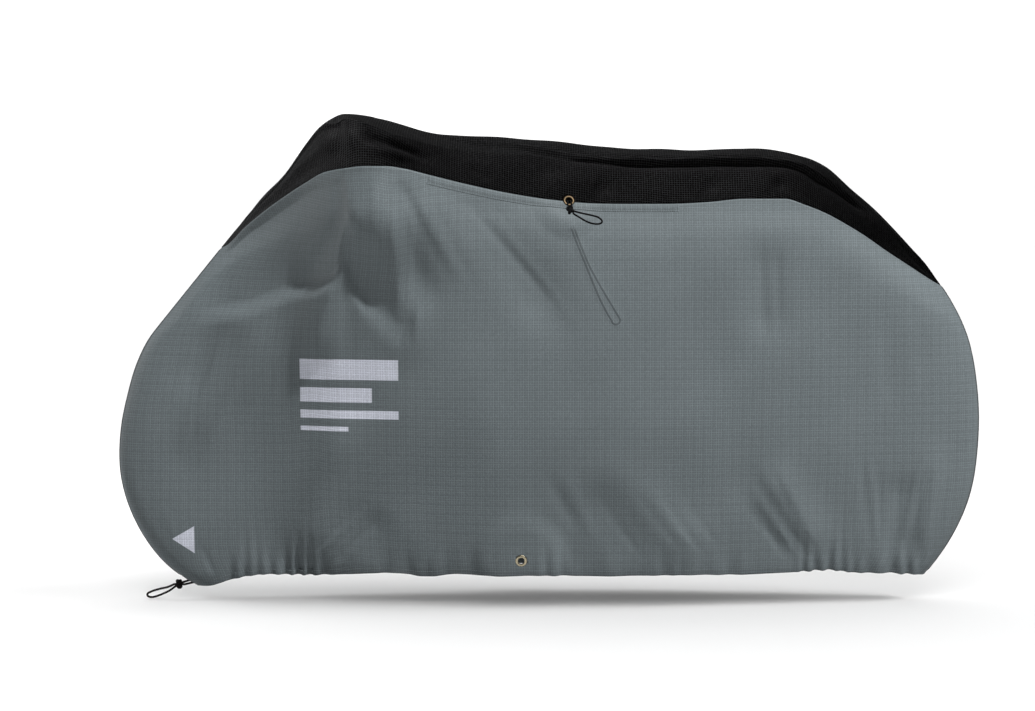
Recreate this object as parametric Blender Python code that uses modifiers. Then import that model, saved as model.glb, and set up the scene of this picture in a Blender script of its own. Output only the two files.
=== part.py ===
"""Fitted cover: two side panels and a top gusset, a casing strip, eyelets and drawcords.

Metres, +Z up, the front end towards -X and the near side towards -Y. Heights in the tables are
above the ground; the last lines move everything so that the origin lies under the top panel.
"""

from collections import namedtuple
import math

import bpy
import numpy as np
from mathutils import Matrix, Vector

# ---- sizes ---------------------------------------------------------------------------------
CLOTH = 0.0012           # thickness of every cloth layer
SEAM_GAP = 0.00045       # each cloth edge stays this far from its seam line
END_GAP = 0.0006         # half the gap between the two sides along the front and rear seams
NEAR, FAR = -1.0, 1.0    # sign of Y for each side

FRONT_TIP = (-0.727, 0.783)     # x, height where the gusset ends at the front
REAR_TIP = (0.865, 0.700)
FRONT_HEM = (-0.785, 0.030)     # lowest front corner, at the mouth of the hem
REAR_HEM = (0.836, 0.055)
HEM_TURN = 0.018                # height of the hem turned up inside
HEM_DEPTH = 0.0042              # how far inside the turned-up layer lies
MOUTH_OUT = 0.0062              # half-width of the hem's open mouth at the front corner
MOUTH_ROWS = (0.945, 0.967)     # rows between which that mouth opens to its full width

STRIP_FIRST, STRIP_LAST = 14, 26   # seam columns between which the casing strip runs
STRIP_LIFT = CLOTH + 0.0004        # from the middle of the panel to the middle of the strip

EYELET_BORE = 0.0070
EYELET_OUT = 0.0130
EYELET_BARREL = 0.0078
EYELET_RIM = 0.0008
CLOTH_HOLE = 0.0083
EYELET_UP = 0.994                  # the top eyelet sits this far across the gusset
TOP_EYELET = (0.0385, 0.8911)      # x, height
HEM_EYELET = (-0.0520, 0.1058)
FLAT_TOP = (0.038, 0.085)          # cloth is flat within the first radius, free past the second
FLAT_HEM = (0.064, 0.115)

CORD = 0.0036                      # diameter of the top cord
HEM_CORD = 0.0048

# ---- shape tables --------------------------------------------------------------------------
# Crest line in the middle plane: x and height of the top, from the front tip to the rear tip.
Crest = namedtuple("Crest", "x height")
CREST = (
    Crest(-0.727, 0.7845), Crest(-0.675, 0.847), Crest(-0.631, 0.899), Crest(-0.586, 0.941),
    Crest(-0.542, 1.003), Crest(-0.497, 1.058), Crest(-0.453, 1.079), Crest(-0.409, 1.074),
    Crest(-0.320, 1.052), Crest(-0.232, 1.033), Crest(-0.144, 1.028), Crest(-0.055, 1.024),
    Crest(0.033, 1.015), Crest(0.121, 1.006), Crest(0.298, 0.999), Crest(0.431, 1.002),
    Crest(0.519, 0.995), Crest(0.564, 0.984), Crest(0.608, 0.962), Crest(0.652, 0.924),
    Crest(0.742, 0.845), Crest(0.786, 0.798), Crest(0.831, 0.747), Crest(0.865, 0.7015),
)

# Top of each section: the soft ridge beside the crest, then the seam to the side panel.
Top = namedtuple("Top", "x ridge_out ridge_height seam_out seam_height")
TOP = (
    Top(-0.727, 0.0004, 0.7838, 0.0008, 0.7830), Top(-0.716, 0.0070, 0.7930, 0.0140, 0.7880),
    Top(-0.670, 0.0300, 0.8480, 0.0520, 0.8310), Top(-0.624, 0.0600, 0.8980, 0.0880, 0.8680),
    Top(-0.577, 0.0930, 0.9520, 0.1240, 0.9010), Top(-0.531, 0.1300, 1.0130, 0.1620, 0.9300),
    Top(-0.485, 0.1750, 1.0580, 0.2050, 0.9550), Top(-0.440, 0.2080, 1.0700, 0.2430, 0.9640),
    Top(-0.397, 0.2260, 1.0600, 0.2660, 0.9690), Top(-0.354, 0.2260, 1.0430, 0.2740, 0.9690),
    Top(-0.311, 0.2080, 1.0280, 0.2660, 0.9630), Top(-0.269, 0.1850, 1.0140, 0.2500, 0.9520),
    Top(-0.184, 0.1500, 1.0000, 0.2200, 0.9300), Top(-0.099, 0.1300, 0.9930, 0.1980, 0.9110),
    Top(-0.013, 0.1150, 0.9870, 0.1820, 0.8965), Top(0.074, 0.1040, 0.9810, 0.1710, 0.8872),
    Top(0.160, 0.0970, 0.9760, 0.1620, 0.8850), Top(0.247, 0.0900, 0.9750, 0.1530, 0.8848),
    Top(0.334, 0.0830, 0.9770, 0.1450, 0.8880), Top(0.422, 0.0780, 0.9790, 0.1360, 0.8955),
    Top(0.509, 0.0730, 0.9740, 0.1260, 0.8952), Top(0.553, 0.0680, 0.9640, 0.1190, 0.8820),
    Top(0.598, 0.0600, 0.9430, 0.1090, 0.8640), Top(0.643, 0.0510, 0.9120, 0.0960, 0.8400),
    Top(0.688, 0.0420, 0.8740, 0.0820, 0.8130), Top(0.733, 0.0330, 0.8340, 0.0660, 0.7820),
    Top(0.778, 0.0230, 0.7900, 0.0490, 0.7530), Top(0.825, 0.0120, 0.7400, 0.0270, 0.7230),
    Top(0.853, 0.0060, 0.7130, 0.0120, 0.7060), Top(0.865, 0.0004, 0.7008, 0.0008, 0.7000),
)

# Half-width of the side below the seam; s runs from the front seam (0) to the rear seam (1),
# and each further column is at that share of the way down from the seam to the hem.
DOWN = (0.0, 0.10, 0.30, 0.55, 0.80, 1.0)
Side = namedtuple("Side", "s at_10 at_30 at_55 at_80 hem")
SIDE = (
    Side(0.000, 0.000, 0.000, 0.000, 0.000, 0.000), Side(0.035, 0.036, 0.030, 0.026, 0.022, 0.018),
    Side(0.080, 0.082, 0.058, 0.050, 0.042, 0.036), Side(0.140, 0.162, 0.104, 0.078, 0.062, 0.053),
    Side(0.190, 0.242, 0.152, 0.106, 0.080, 0.068), Side(0.235, 0.282, 0.206, 0.136, 0.098, 0.083),
    Side(0.280, 0.272, 0.212, 0.156, 0.114, 0.097), Side(0.340, 0.236, 0.205, 0.172, 0.132, 0.113),
    Side(0.450, 0.196, 0.194, 0.184, 0.150, 0.130), Side(0.600, 0.170, 0.178, 0.176, 0.146, 0.125),
    Side(0.740, 0.146, 0.148, 0.142, 0.118, 0.100), Side(0.860, 0.104, 0.100, 0.092, 0.078, 0.066),
    Side(0.940, 0.056, 0.054, 0.052, 0.045, 0.038), Side(1.000, 0.000, 0.000, 0.000, 0.000, 0.000),
)
NOSE_OUT = 0.020         # half-width of the rounded edge that the end seams run along
NOSE_LENGTH = 0.034

# End seams: angle about the centre, in degrees from +X, and distance from it.
Arc = namedtuple("Arc", "angle radius")
FRONT_CENTRE = (-0.564, 0.343)
FRONT_ARC = (
    Arc(143.5, 0.4040), Arc(154.0, 0.3965), Arc(165.0, 0.3900), Arc(176.0, 0.3915),
    Arc(190.0, 0.3965), Arc(202.0, 0.3970), Arc(215.0, 0.3960), Arc(224.0, 0.3930),
    Arc(234.8, 0.3831),
)
REAR_CENTRE = (0.409, 0.398)
REAR_ARC = (
    Arc(33.5, 0.5475), Arc(29.4, 0.5490), Arc(21.5, 0.5508), Arc(14.4, 0.5478),
    Arc(7.2, 0.5448), Arc(-4.0, 0.5448), Arc(-14.0, 0.5501), Arc(-21.0, 0.5522),
    Arc(-29.0, 0.5512), Arc(-38.8, 0.5477),
)
HEM = (
    Crest(-0.785, 0.030), Crest(-0.755, 0.033), Crest(-0.720, 0.0445), Crest(-0.676, 0.056),
    Crest(-0.620, 0.062),
    Crest(-0.541, 0.062), Crest(-0.452, 0.067), Crest(-0.341, 0.073), Crest(-0.272, 0.066),
    Crest(-0.200, 0.073),
    Crest(-0.120, 0.071), Crest(-0.012, 0.073), Crest(0.100, 0.070), Crest(0.208, 0.071),
    Crest(0.320, 0.071), Crest(0.429, 0.069), Crest(0.520, 0.072), Crest(0.607, 0.075),
    Crest(0.680, 0.067), Crest(0.742, 0.065), Crest(0.787, 0.061), Crest(0.836, 0.055),
)

# Main folds of each side: both ends as x and height, half-width of the fold, and how far it
# stands out (+) or sinks in (-).
Fold = namedtuple("Fold", "x0 z0 x1 z1 wide out")
NEAR_FOLDS = (
    Fold(-0.325, 0.940, -0.275, 0.680, 0.038, -0.016),
    Fold(-0.345, 0.930, -0.300, 0.560, 0.045, 0.012),
    Fold(-0.465, 0.800, -0.515, 0.555, 0.045, 0.010),
    Fold(-0.620, 0.640, -0.790, 0.340, 0.050, 0.009),
    Fold(-0.690, 0.620, -0.820, 0.480, 0.040, -0.007),
    Fold(-0.440, 0.420, -0.550, 0.100, 0.050, 0.009),
    Fold(-0.370, 0.200, -0.465, 0.080, 0.040, -0.007),
    Fold(-0.180, 0.900, 0.020, 0.620, 0.055, -0.010),
    Fold(0.100, 0.330, 0.330, 0.110, 0.055, 0.008),
    Fold(0.420, 0.290, 0.555, 0.110, 0.040, -0.013),
    Fold(0.470, 0.300, 0.600, 0.120, 0.045, 0.010),
    Fold(0.465, 0.800, 0.465, 0.600, 0.045, -0.008),
    Fold(0.770, 0.270, 0.785, 0.110, 0.040, -0.009),
    Fold(0.860, 0.340, 0.820, 0.120, 0.035, 0.007),
)
FAR_FOLDS = (
    Fold(-0.345, 0.930, -0.300, 0.560, 0.045, 0.012),
    Fold(-0.620, 0.640, -0.790, 0.340, 0.050, 0.008),
    Fold(-0.440, 0.420, -0.550, 0.100, 0.050, 0.008),
    Fold(-0.180, 0.900, 0.020, 0.620, 0.055, -0.009),
    Fold(0.420, 0.290, 0.555, 0.110, 0.045, -0.011),
    Fold(0.770, 0.270, 0.785, 0.110, 0.040, -0.008),
)
# Gathers of the hem: waves per length of the side, size, and phase.
Wave = namedtuple("Wave", "count size phase")
GATHERS = (Wave(5.0, 0.0035, 0.4), Wave(8.6, 0.0025, 1.9))
GATHER_FROM = 0.78       # share of the way down where the gathers begin

# ---- grids ---------------------------------------------------------------------------------
PATCH_S = (0.4261, 0.4692)      # the hem patch lies between these columns
TOP_S = (0.4692, 0.4918)        # the column of cloth that holds the top eyelet
PATCH_T = 0.924                 # and below this row
COLUMNS = np.concatenate([
    [0.0, 0.004, 0.011, 0.021, 0.035],
    np.linspace(0.055, PATCH_S[0], 15),
    [PATCH_S[1], TOP_S[1]],
    np.linspace(0.516, 0.945, 16),
    [0.965, 0.979, 0.989, 0.996, 1.0],
])
ROWS = np.concatenate([
    [0.0006, 0.0245, 0.060],
    np.linspace(0.105, 0.87, 17),
    [PATCH_T, 0.945, 0.968, 1.0],
])
GUSSET_COLUMNS = np.concatenate([[0.0015], COLUMNS[1:-1], [0.9985]])
GUSSET_HALF = np.array([0.0, 0.22, 0.42, 0.58, 0.72, 0.86, 1.0])


def through(knots, values, at):
    """Smooth curve through the knots that never overshoots them, for whole arrays."""
    knots = np.asarray(knots, float)
    values = np.asarray(values, float)
    step = np.diff(knots)
    slope = np.diff(values) / step
    same = slope[:-1] * slope[1:] > 0
    left, right = 2 * step[1:] + step[:-1], step[1:] + 2 * step[:-1]
    safe = np.where(same, slope[:-1] * slope[1:], 1.0)
    middle = (left + right) * safe / (left * slope[1:] + right * slope[:-1] + (~same))
    tangent = np.concatenate([[slope[0]], np.where(same, middle, 0.0), [slope[-1]]])
    at = np.clip(at, knots[0], knots[-1])
    cell = np.clip(np.searchsorted(knots, at, side="right") - 1, 0, len(step) - 1)
    u = (at - knots[cell]) / step[cell]
    return (
        values[cell] * (1 + 2 * u) * (1 - u) ** 2
        + values[cell + 1] * u * u * (3 - 2 * u)
        + tangent[cell] * step[cell] * u * (1 - u) ** 2
        - tangent[cell + 1] * step[cell] * u * u * (1 - u)
    )


def column(table, name):
    """One named column of a table, as an array."""
    return np.array([getattr(row, name) for row in table])


def smoothstep(low, high, value):
    share = np.clip((value - low) / (high - low), 0.0, 1.0)
    return share * share * (3 - 2 * share)


def end_path(centre, arc, tip, hem):
    """Points of an end seam, from the gusset's tip down to the hem, evenly spaced."""
    angle, radius = column(arc, "angle"), column(arc, "radius")
    turn = np.linspace(0.0, 1.0, 120)
    order = np.linspace(0.0, 1.0, len(arc))
    angle = np.radians(through(order, angle, turn))
    radius = through(order, radius, turn)
    curve = np.stack([centre[0] + radius * np.cos(angle), centre[1] + radius * np.sin(angle)], -1)
    curve[-1] = hem
    rise = np.linspace(0.0, 1.0, 60)[:-1, None]
    path = np.concatenate([np.array(tip) + rise * (curve[0] - np.array(tip)), curve])
    # The corner where the taut cloth meets the round end is softened.
    for _ in range(25):
        path[1:-1] += 0.25 * (path[:-2] - 2 * path[1:-1] + path[2:])
    run = np.concatenate([[0.0], np.cumsum(np.linalg.norm(np.diff(path, axis=0), axis=1))])
    return run / run[-1], path


FRONT_RUN, FRONT_PATH = end_path(FRONT_CENTRE, FRONT_ARC, FRONT_TIP, FRONT_HEM)
REAR_RUN, REAR_PATH = end_path(REAR_CENTRE, REAR_ARC, REAR_TIP, REAR_HEM)


def top_at(s):
    """x, crest height, and the ridge's and the seam's half-width and height, at column s."""
    x = FRONT_TIP[0] + s * (REAR_TIP[0] - FRONT_TIP[0])
    at = column(TOP, "x")
    crest = through(column(CREST, "x"), column(CREST, "height"), x)
    return (x, crest) + tuple(through(at, column(TOP, name), x) for name in Top._fields[1:])


def hem_at(s):
    x = FRONT_HEM[0] + s * (REAR_HEM[0] - FRONT_HEM[0])
    return x, through(column(HEM, "x"), column(HEM, "height"), x)


def face_of_side(s, t):
    """x and height of the side at column s and row t, stretched between its four edges."""
    top_x, _, _, _, _, top_z = top_at(s)
    hem_x, hem_z = hem_at(s)
    front = [np.interp(t, FRONT_RUN, FRONT_PATH[:, axis]) for axis in (0, 1)]
    rear = [np.interp(t, REAR_RUN, REAR_PATH[:, axis]) for axis in (0, 1)]
    found = []
    for axis, top, hem in ((0, top_x, hem_x), (1, top_z, hem_z)):
        corners = (
            (1 - s) * ((1 - t) * FRONT_TIP[axis] + t * FRONT_HEM[axis])
            + s * ((1 - t) * REAR_TIP[axis] + t * REAR_HEM[axis])
        )
        found.append((1 - t) * top + t * hem + (1 - s) * front[axis] + s * rear[axis] - corners)
    return found


def half_width(s, t):
    """How far the side stands out from the middle plane, before its folds."""
    seam_out = top_at(s)[4]
    at = column(SIDE, "s")
    levels = np.stack([seam_out] + [through(at, column(SIDE, name), s) for name in Side._fields[1:]])
    knots = np.array(DOWN)
    step = np.diff(knots)
    slope = np.diff(levels, axis=0) / step.reshape((-1,) + (1,) * s.ndim)
    same = slope[:-1] * slope[1:] > 0
    mean = np.where(same, 2 * slope[:-1] * slope[1:] / (slope[:-1] + slope[1:] + (~same)), 0.0)
    tangent = np.concatenate([slope[:1], mean, slope[-1:]])
    cell = np.clip(np.searchsorted(knots, t, side="right") - 1, 0, len(step) - 1)
    u = (t - knots[cell]) / step[cell]

    def pick(array, index):
        return np.take_along_axis(array, index[None], 0)[0]

    width = (
        pick(levels, cell) * (1 + 2 * u) * (1 - u) ** 2
        + pick(levels, cell + 1) * u * u * (3 - 2 * u)
        + pick(tangent, cell) * step[cell] * u * (1 - u) ** 2
        - pick(tangent, cell + 1) * step[cell] * u * u * (1 - u)
    )
    # The cloth rounds the end seams instead of meeting them in a sharp edge.
    span = 1.72
    from_end = np.clip(np.minimum(s, 1 - s) * span / NOSE_LENGTH, 0.0, 1.0)
    nose = NOSE_OUT * np.sqrt(1 - (1 - from_end) ** 2) * smoothstep(0.0, 0.16, t)
    return width + nose * (1 - 0.55 * smoothstep(0.0, 1.0, np.minimum(s, 1 - s) / 0.12))


def fold_relief(x, z, folds):
    """Sum of the soft ridges and troughs at this x and height."""
    total = np.zeros_like(x)
    for fold in folds:
        run = np.array([fold.x1 - fold.x0, fold.z1 - fold.z0])
        length = np.hypot(*run)
        along = ((x - fold.x0) * run[0] + (z - fold.z0) * run[1]) / length**2
        across = ((x - fold.x0) * run[1] - (z - fold.z0) * run[0]) / length
        ends = smoothstep(-0.15, 0.25, along) * (1 - smoothstep(0.75, 1.15, along))
        total += fold.out * np.exp(-((across / fold.wide) ** 2)) * ends
    return total


def flatten(points, centre, normal, radii, side):
    """Lays the cloth round an eyelet into one plane, fading out past the second radius."""
    offset = points - centre
    height = offset @ normal
    distance = np.linalg.norm(offset - height[..., None] * normal, axis=-1)
    share = (1 - smoothstep(radii[0], radii[1], distance)) * (points[..., 1] * side > 0)
    return points - (share * height)[..., None] * normal


def side_raw(s, t, side):
    s, t = np.broadcast_arrays(np.asarray(s, float), np.asarray(t, float))
    x, z = face_of_side(s, t)
    inside = smoothstep(0.0, 0.05, s) * smoothstep(0.0, 0.05, 1 - s)
    folds = NEAR_FOLDS if side == NEAR else FAR_FOLDS
    out = half_width(s, t) + fold_relief(x, z, folds) * inside * smoothstep(0.0, 0.06, t)
    gather = sum(w.size * np.sin(2 * math.pi * w.count * s + w.phase) for w in GATHERS)
    out = out + gather * inside * smoothstep(GATHER_FROM, 1.0, t)
    mouth = (1 - smoothstep(0.0, 0.02, s)) * smoothstep(*MOUTH_ROWS, t)
    out = np.maximum(out, END_GAP + MOUTH_OUT * mouth)
    return np.stack([x, side * out, z], -1)


def gusset_raw(s, across):
    """Point of the gusset; across runs from the near seam (-1) over the crest (0) to +1."""
    s, across = np.broadcast_arrays(np.asarray(s, float), np.asarray(across, float))
    x, crest, ridge_out, ridge_height, seam_out, seam_height = top_at(s)
    part = np.abs(across)
    # Two quadratic arcs, crest to ridge and ridge to seam, joined with one tangent.
    first = np.clip(part / 0.55, 0, 1)
    second = np.clip((part - 0.55) / 0.45, 0, 1)
    corner_out = ridge_out * 1.02
    corner_height = crest - 0.25 * (crest - ridge_height)
    flat_out, flat_height = 0.55 * ridge_out, crest - 0.04 * (crest - ridge_height)
    knee_out = corner_out + 0.25 * (seam_out - ridge_out)
    knee_height = ridge_height - 0.18 * (ridge_height - seam_height)

    def arc(a, b, c, u):
        return a * (1 - u) ** 2 + 2 * b * u * (1 - u) + c * u * u

    lower = part > 0.55
    mid_out, mid_height = 0.5 * (flat_out + knee_out), ridge_height
    out = np.where(lower, arc(ridge_out, knee_out, seam_out, second),
                   arc(0.0, flat_out + 0.15 * (mid_out - flat_out), ridge_out, first))
    height = np.where(lower, arc(mid_height, knee_height, seam_height, second),
                      arc(crest, 0.5 * (flat_height + corner_height), mid_height, first))
    return np.stack([x, np.sign(across) * out, height], -1)


def plane_at(side, where):
    """Point and outward normal of the cloth at an eyelet; where is x and height there."""
    top = where == "top"
    x, z = TOP_EYELET if top else HEM_EYELET
    s = (x - FRONT_TIP[0]) / (REAR_TIP[0] - FRONT_TIP[0]) if top else (
        (x - FRONT_HEM[0]) / (REAR_HEM[0] - FRONT_HEM[0]))
    if top:
        upper, lower = gusset_raw(s, side * 0.80), side_raw(s, 0.04, side)
        point = gusset_raw(s, side * EYELET_UP)
    else:
        upper, lower = side_raw(s, 0.93, side), side_raw(s, 1.0, side)
        rows = np.linspace(0.93, 1.0, 40)
        points = side_raw(np.full(40, s), rows, side)
        point = points[np.argmin(np.abs(points[:, 2] - z))]
    down = lower - upper
    step = 0.02
    if top:
        along = gusset_raw(s + step, side * EYELET_UP) - gusset_raw(s - step, side * EYELET_UP)
    else:
        along = side_raw(s + step, 0.96, side) - side_raw(s - step, 0.96, side)
    normal = np.cross(down, along)
    normal /= np.linalg.norm(normal)
    return point, normal * np.sign(normal[1] * side)


TOP_POINT, TOP_NORMAL = plane_at(NEAR, "top")
HEM_POINTS = {side: plane_at(side, "hem") for side in (NEAR, FAR)}


def settled(points, side):
    points = flatten(points, TOP_POINT, TOP_NORMAL, FLAT_TOP, NEAR)
    point, normal = HEM_POINTS[side]
    return flatten(points, point, normal, FLAT_HEM, side)


def side_points(s, t, side):
    return settled(side_raw(s, t, side), side)


def gusset_points(s, across):
    return flatten(gusset_raw(s, across), TOP_POINT, TOP_NORMAL, FLAT_TOP, NEAR)


def normals_of(grid, side):
    """Outward normals of a grid of points, rows first."""
    along = np.gradient(grid, axis=1)
    down = np.gradient(grid, axis=0)
    normal = np.cross(down, along)
    normal /= np.linalg.norm(normal, axis=-1, keepdims=True)
    outward = np.sign(np.median(normal[..., 1]) * side)
    return normal * outward


# ---- mesh helpers --------------------------------------------------------------------------
bpy.ops.object.select_all(action="DESELECT")
for old in list(bpy.data.objects):
    bpy.data.objects.remove(old, do_unlink=True)

COVER = bpy.data.collections.new("fitted_cover")
bpy.context.scene.collection.children.link(COVER)
CUTTERS = bpy.data.collections.new("cutters")
bpy.context.scene.collection.children.link(CUTTERS)


def finish_of(name, colour, roughness, metallic=0.0):
    """A plain material for one sub-part."""
    material = bpy.data.materials.new(name)
    material.use_nodes = True
    shader = material.node_tree.nodes["Principled BSDF"]
    shader.inputs["Base Color"].default_value = (*colour, 1.0)
    shader.inputs["Roughness"].default_value = roughness
    shader.inputs["Metallic"].default_value = metallic
    return material


def new_object(name, data, material, collection=None):
    data.materials.append(material)
    thing = bpy.data.objects.new(name, data)
    (collection or COVER).objects.link(thing)
    return thing


def cloth_object(name, points, faces, material, outward):
    """A cloth sheet: an open surface thickened to both sides, its faces turned outward."""
    mesh = bpy.data.meshes.new(name)
    points = np.asarray(points).reshape(-1, 3)
    faces = np.asarray(faces)
    a, b, d = (points[faces[:, k]] for k in (0, 1, 3))
    normal = np.cross(b - a, d - a)
    turned = np.sum(normal * outward(a), axis=1) < 0
    if turned.mean() > 0.5:
        faces = faces[:, ::-1]
    mesh.from_pydata(points.tolist(), [], faces.tolist())
    mesh.update()
    thing = new_object(name, mesh, material)
    thick = thing.modifiers.new("thickness", "SOLIDIFY")
    thick.thickness = CLOTH
    thick.offset = 0.0
    thick.use_even_offset = False
    return thing


def grid_faces(rows, columns, keep=None):
    """Quads of a grid of points; keep may leave some cells out."""
    index = np.arange(rows * columns).reshape(rows, columns)
    faces = np.stack([index[:-1, :-1], index[1:, :-1], index[1:, 1:], index[:-1, 1:]], -1)
    return faces[keep] if keep is not None else faces.reshape(-1, 4)


def away_from_middle(side):
    return lambda points: np.array([0.0, side, 0.0])


def upward(points):
    return np.stack([0 * points[:, 0], 3 * points[:, 1], np.full(len(points), 0.5)], -1)


# ---- cloth ---------------------------------------------------------------------------------
def side_panel(name, side, material):
    """A side panel: its main grid with the hem turned up inside, less the hem patch."""
    s, t = np.meshgrid(COLUMNS, ROWS)
    grid = side_points(s, t, side)
    normal = normals_of(grid, side)
    # The turned-up layer leaves the hem inward; near the end seams it goes straight up the seam.
    inward = -normal[-1]
    near_end = 1 - smoothstep(0.012, 0.030, np.abs(grid[-1, :, 1]))
    inward[:, 1] *= 1 - near_end
    inward /= np.linalg.norm(inward, axis=-1, keepdims=True)
    down = grid[-1] - grid[-2]
    up = -down / np.linalg.norm(down, axis=-1, keepdims=True)
    fold_low = grid[-1] + HEM_DEPTH * 0.85 * inward + up * 0.0012
    fold_high = grid[-1] + HEM_DEPTH * inward + up * HEM_TURN
    layers = np.concatenate([grid, fold_low[None], fold_high[None]])
    rows, columns = layers.shape[:2]
    keep = np.ones((rows - 1, columns - 1), bool)
    first = int(np.argmin(np.abs(COLUMNS - PATCH_S[0])))
    top_row = int(np.argmin(np.abs(ROWS - PATCH_T)))
    keep[top_row:len(ROWS) - 1, first] = False
    keep[len(ROWS) - 1, first] = False
    return cloth_object(name, layers, grid_faces(rows, columns, keep), material,
                        away_from_middle(side))


def top_gusset(name, material):
    across = np.concatenate([-GUSSET_HALF[:0:-1], GUSSET_HALF])
    s, v = np.meshgrid(GUSSET_COLUMNS, across)
    grid = gusset_points(s, v)
    # Both long edges stop short of their seams.
    for edge, inner in ((0, 1), (-1, -2)):
        way = grid[inner] - grid[edge]
        length = np.linalg.norm(way, axis=-1, keepdims=True)
        grid[edge] += way / length * np.minimum(SEAM_GAP, 0.3 * length)
    faces = grid_faces(*grid.shape[:2])
    return cloth_object(name, grid, faces, material, upward)


def hem_patch(name, side, material):
    """The piece of hem round an eyelet: rings of points from the round hole out to its edges."""
    low, high = PATCH_S
    inset = 0.0005
    corners = side_points(np.array([low, high, high, low]), np.array([PATCH_T, PATCH_T, 1.0, 1.0]),
                          side)
    centre = HEM_POINTS[side][0]
    normal = HEM_POINTS[side][1]
    middle = corners.mean(axis=0)
    for k, corner in enumerate(corners):
        way = middle - corner
        corners[k] = corner + 1.4 * inset * way / np.linalg.norm(way)
    per_side = 6
    rim = []
    for k in range(4):
        share = np.arange(per_side)[:, None] / per_side
        rim.append(corners[k] + share * (corners[(k + 1) % 4] - corners[k]))
    rim = np.concatenate(rim)
    rays = rim - centre
    rays -= (rays @ normal)[:, None] * normal
    hole = centre + CLOTH_HOLE * rays / np.linalg.norm(rays, axis=-1, keepdims=True)
    shares = np.array([0.0, 0.35, 1.0])[:, None, None]
    rings = hole * (1 - shares) + rim * shares
    count = len(rim)
    index = np.arange(len(shares) * count).reshape(len(shares), count)
    onward = np.roll(index, -1, axis=1)
    faces = np.stack([index[:-1], index[1:], onward[1:], onward[:-1]], -1).reshape(-1, 4)
    return cloth_object(name, rings, faces, material, away_from_middle(side))


def casing_strip(name, material):
    """Facing over the top edge of the near panel, on the same columns, lifted off it."""
    s, t = np.meshgrid(COLUMNS[STRIP_FIRST:STRIP_LAST + 1], ROWS[:2])
    whole = side_points(*np.meshgrid(COLUMNS, ROWS[:3]), NEAR)
    normal = normals_of(whole, NEAR)[:2, STRIP_FIRST:STRIP_LAST + 1]
    grid = side_points(s, t, NEAR) + STRIP_LIFT * normal
    return cloth_object(name, grid, grid_faces(*grid.shape[:2]), material, away_from_middle(NEAR))


# ---- eyelets -------------------------------------------------------------------------------
def frame_at(point, normal):
    """Matrix whose Z axis is the cloth's normal, at the eyelet's centre."""
    turn = Vector(normal).to_track_quat("Z", "Y").to_matrix().to_4x4()
    return Matrix.Translation(Vector(point)) @ turn


def eyelet(name, point, normal, material):
    """A rolled ring: barrel through the cloth and a flange on each face."""
    face = CLOTH / 2 + 0.0004
    outer = face + EYELET_RIM
    profile = (
        (EYELET_BORE, 0.0), (EYELET_BORE, outer * 0.8), (EYELET_BORE + 0.0009, outer + 0.0004),
        (EYELET_BORE + 0.0028, outer + 0.0003), (EYELET_OUT, face + 0.0003), (EYELET_OUT, face),
        (EYELET_BARREL, face), (EYELET_BARREL, -face), (EYELET_OUT, -face),
        (EYELET_OUT, -face - 0.0003), (EYELET_BORE + 0.0020, -outer), (EYELET_BORE, -outer * 0.8),
    )
    mesh = bpy.data.meshes.new(name)
    count = len(profile)
    edges = [(k, (k + 1) % count) for k in range(count)]
    mesh.from_pydata([(r, 0.0, z) for r, z in profile], edges, [])
    ring = new_object(name, mesh, material)
    turn = ring.modifiers.new("turn", "SCREW")
    turn.steps = 28
    turn.render_steps = 28
    turn.use_merge_vertices = True
    turn.merge_threshold = 0.00001
    turn.use_normal_calculate = True
    ring.matrix_world = frame_at(point, normal)
    return ring


def cut_round(thing, point, normal):
    """Cuts the eyelet's hole through one cloth sheet."""
    bpy.ops.mesh.primitive_cylinder_add(vertices=24, radius=CLOTH_HOLE, depth=0.03)
    cutter = bpy.context.object
    cutter.name = f"hole_in_{thing.name}"
    cutter.matrix_world = frame_at(point, normal)
    for owner in list(cutter.users_collection):
        owner.objects.unlink(cutter)
    CUTTERS.objects.link(cutter)
    cutter.hide_render = True
    cutter.display_type = "WIRE"
    hole = thing.modifiers.new("hole", "BOOLEAN")
    hole.operation = "DIFFERENCE"
    hole.solver = "EXACT"
    hole.object = cutter
    return cutter


# ---- cords ---------------------------------------------------------------------------------
def smooth_path(knots, spacing):
    """Centripetal curve through the knots, sampled at even spacing."""
    knots = np.array(knots, float)
    gap = np.sqrt(np.linalg.norm(np.diff(knots, axis=0), axis=1))
    at = np.concatenate([[0.0], np.cumsum(gap)])
    slopes = np.gradient(knots, at, axis=0)
    fine = np.linspace(0.0, at[-1], 2000)
    cell = np.clip(np.searchsorted(at, fine, side="right") - 1, 0, len(gap) - 1)
    step = gap[cell][:, None]
    u = ((fine - at[cell]) / gap[cell])[:, None]
    curve = (
        knots[cell] * (1 + 2 * u) * (1 - u) ** 2 + knots[cell + 1] * u * u * (3 - 2 * u)
        + slopes[cell] * step * u * (1 - u) ** 2 - slopes[cell + 1] * step * u * u * (1 - u)
    )
    run = np.concatenate([[0.0], np.cumsum(np.linalg.norm(np.diff(curve, axis=0), axis=1))])
    count = max(4, int(round(run[-1] / spacing)) + 1)
    even = np.linspace(0.0, run[-1], count)
    return np.stack([np.interp(even, run, curve[:, axis]) for axis in range(3)], -1)


def cord(name, knots, diameter, material):
    """A plain round cord along the knots; its first and last steps stay straight."""
    inner = smooth_path(knots[1:-1], 2.4 * diameter)
    points = np.concatenate([[knots[0]], inner, [knots[-1]]])
    data = bpy.data.curves.new(name, "CURVE")
    data.dimensions = "3D"
    spline = data.splines.new("POLY")
    spline.points.add(len(points) - 1)
    spline.points.foreach_set("co", np.c_[points, np.ones(len(points))].ravel())
    data.bevel_depth = diameter / 2
    data.bevel_resolution = 2
    data.use_fill_caps = True
    return new_object(name, data, material)


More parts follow.
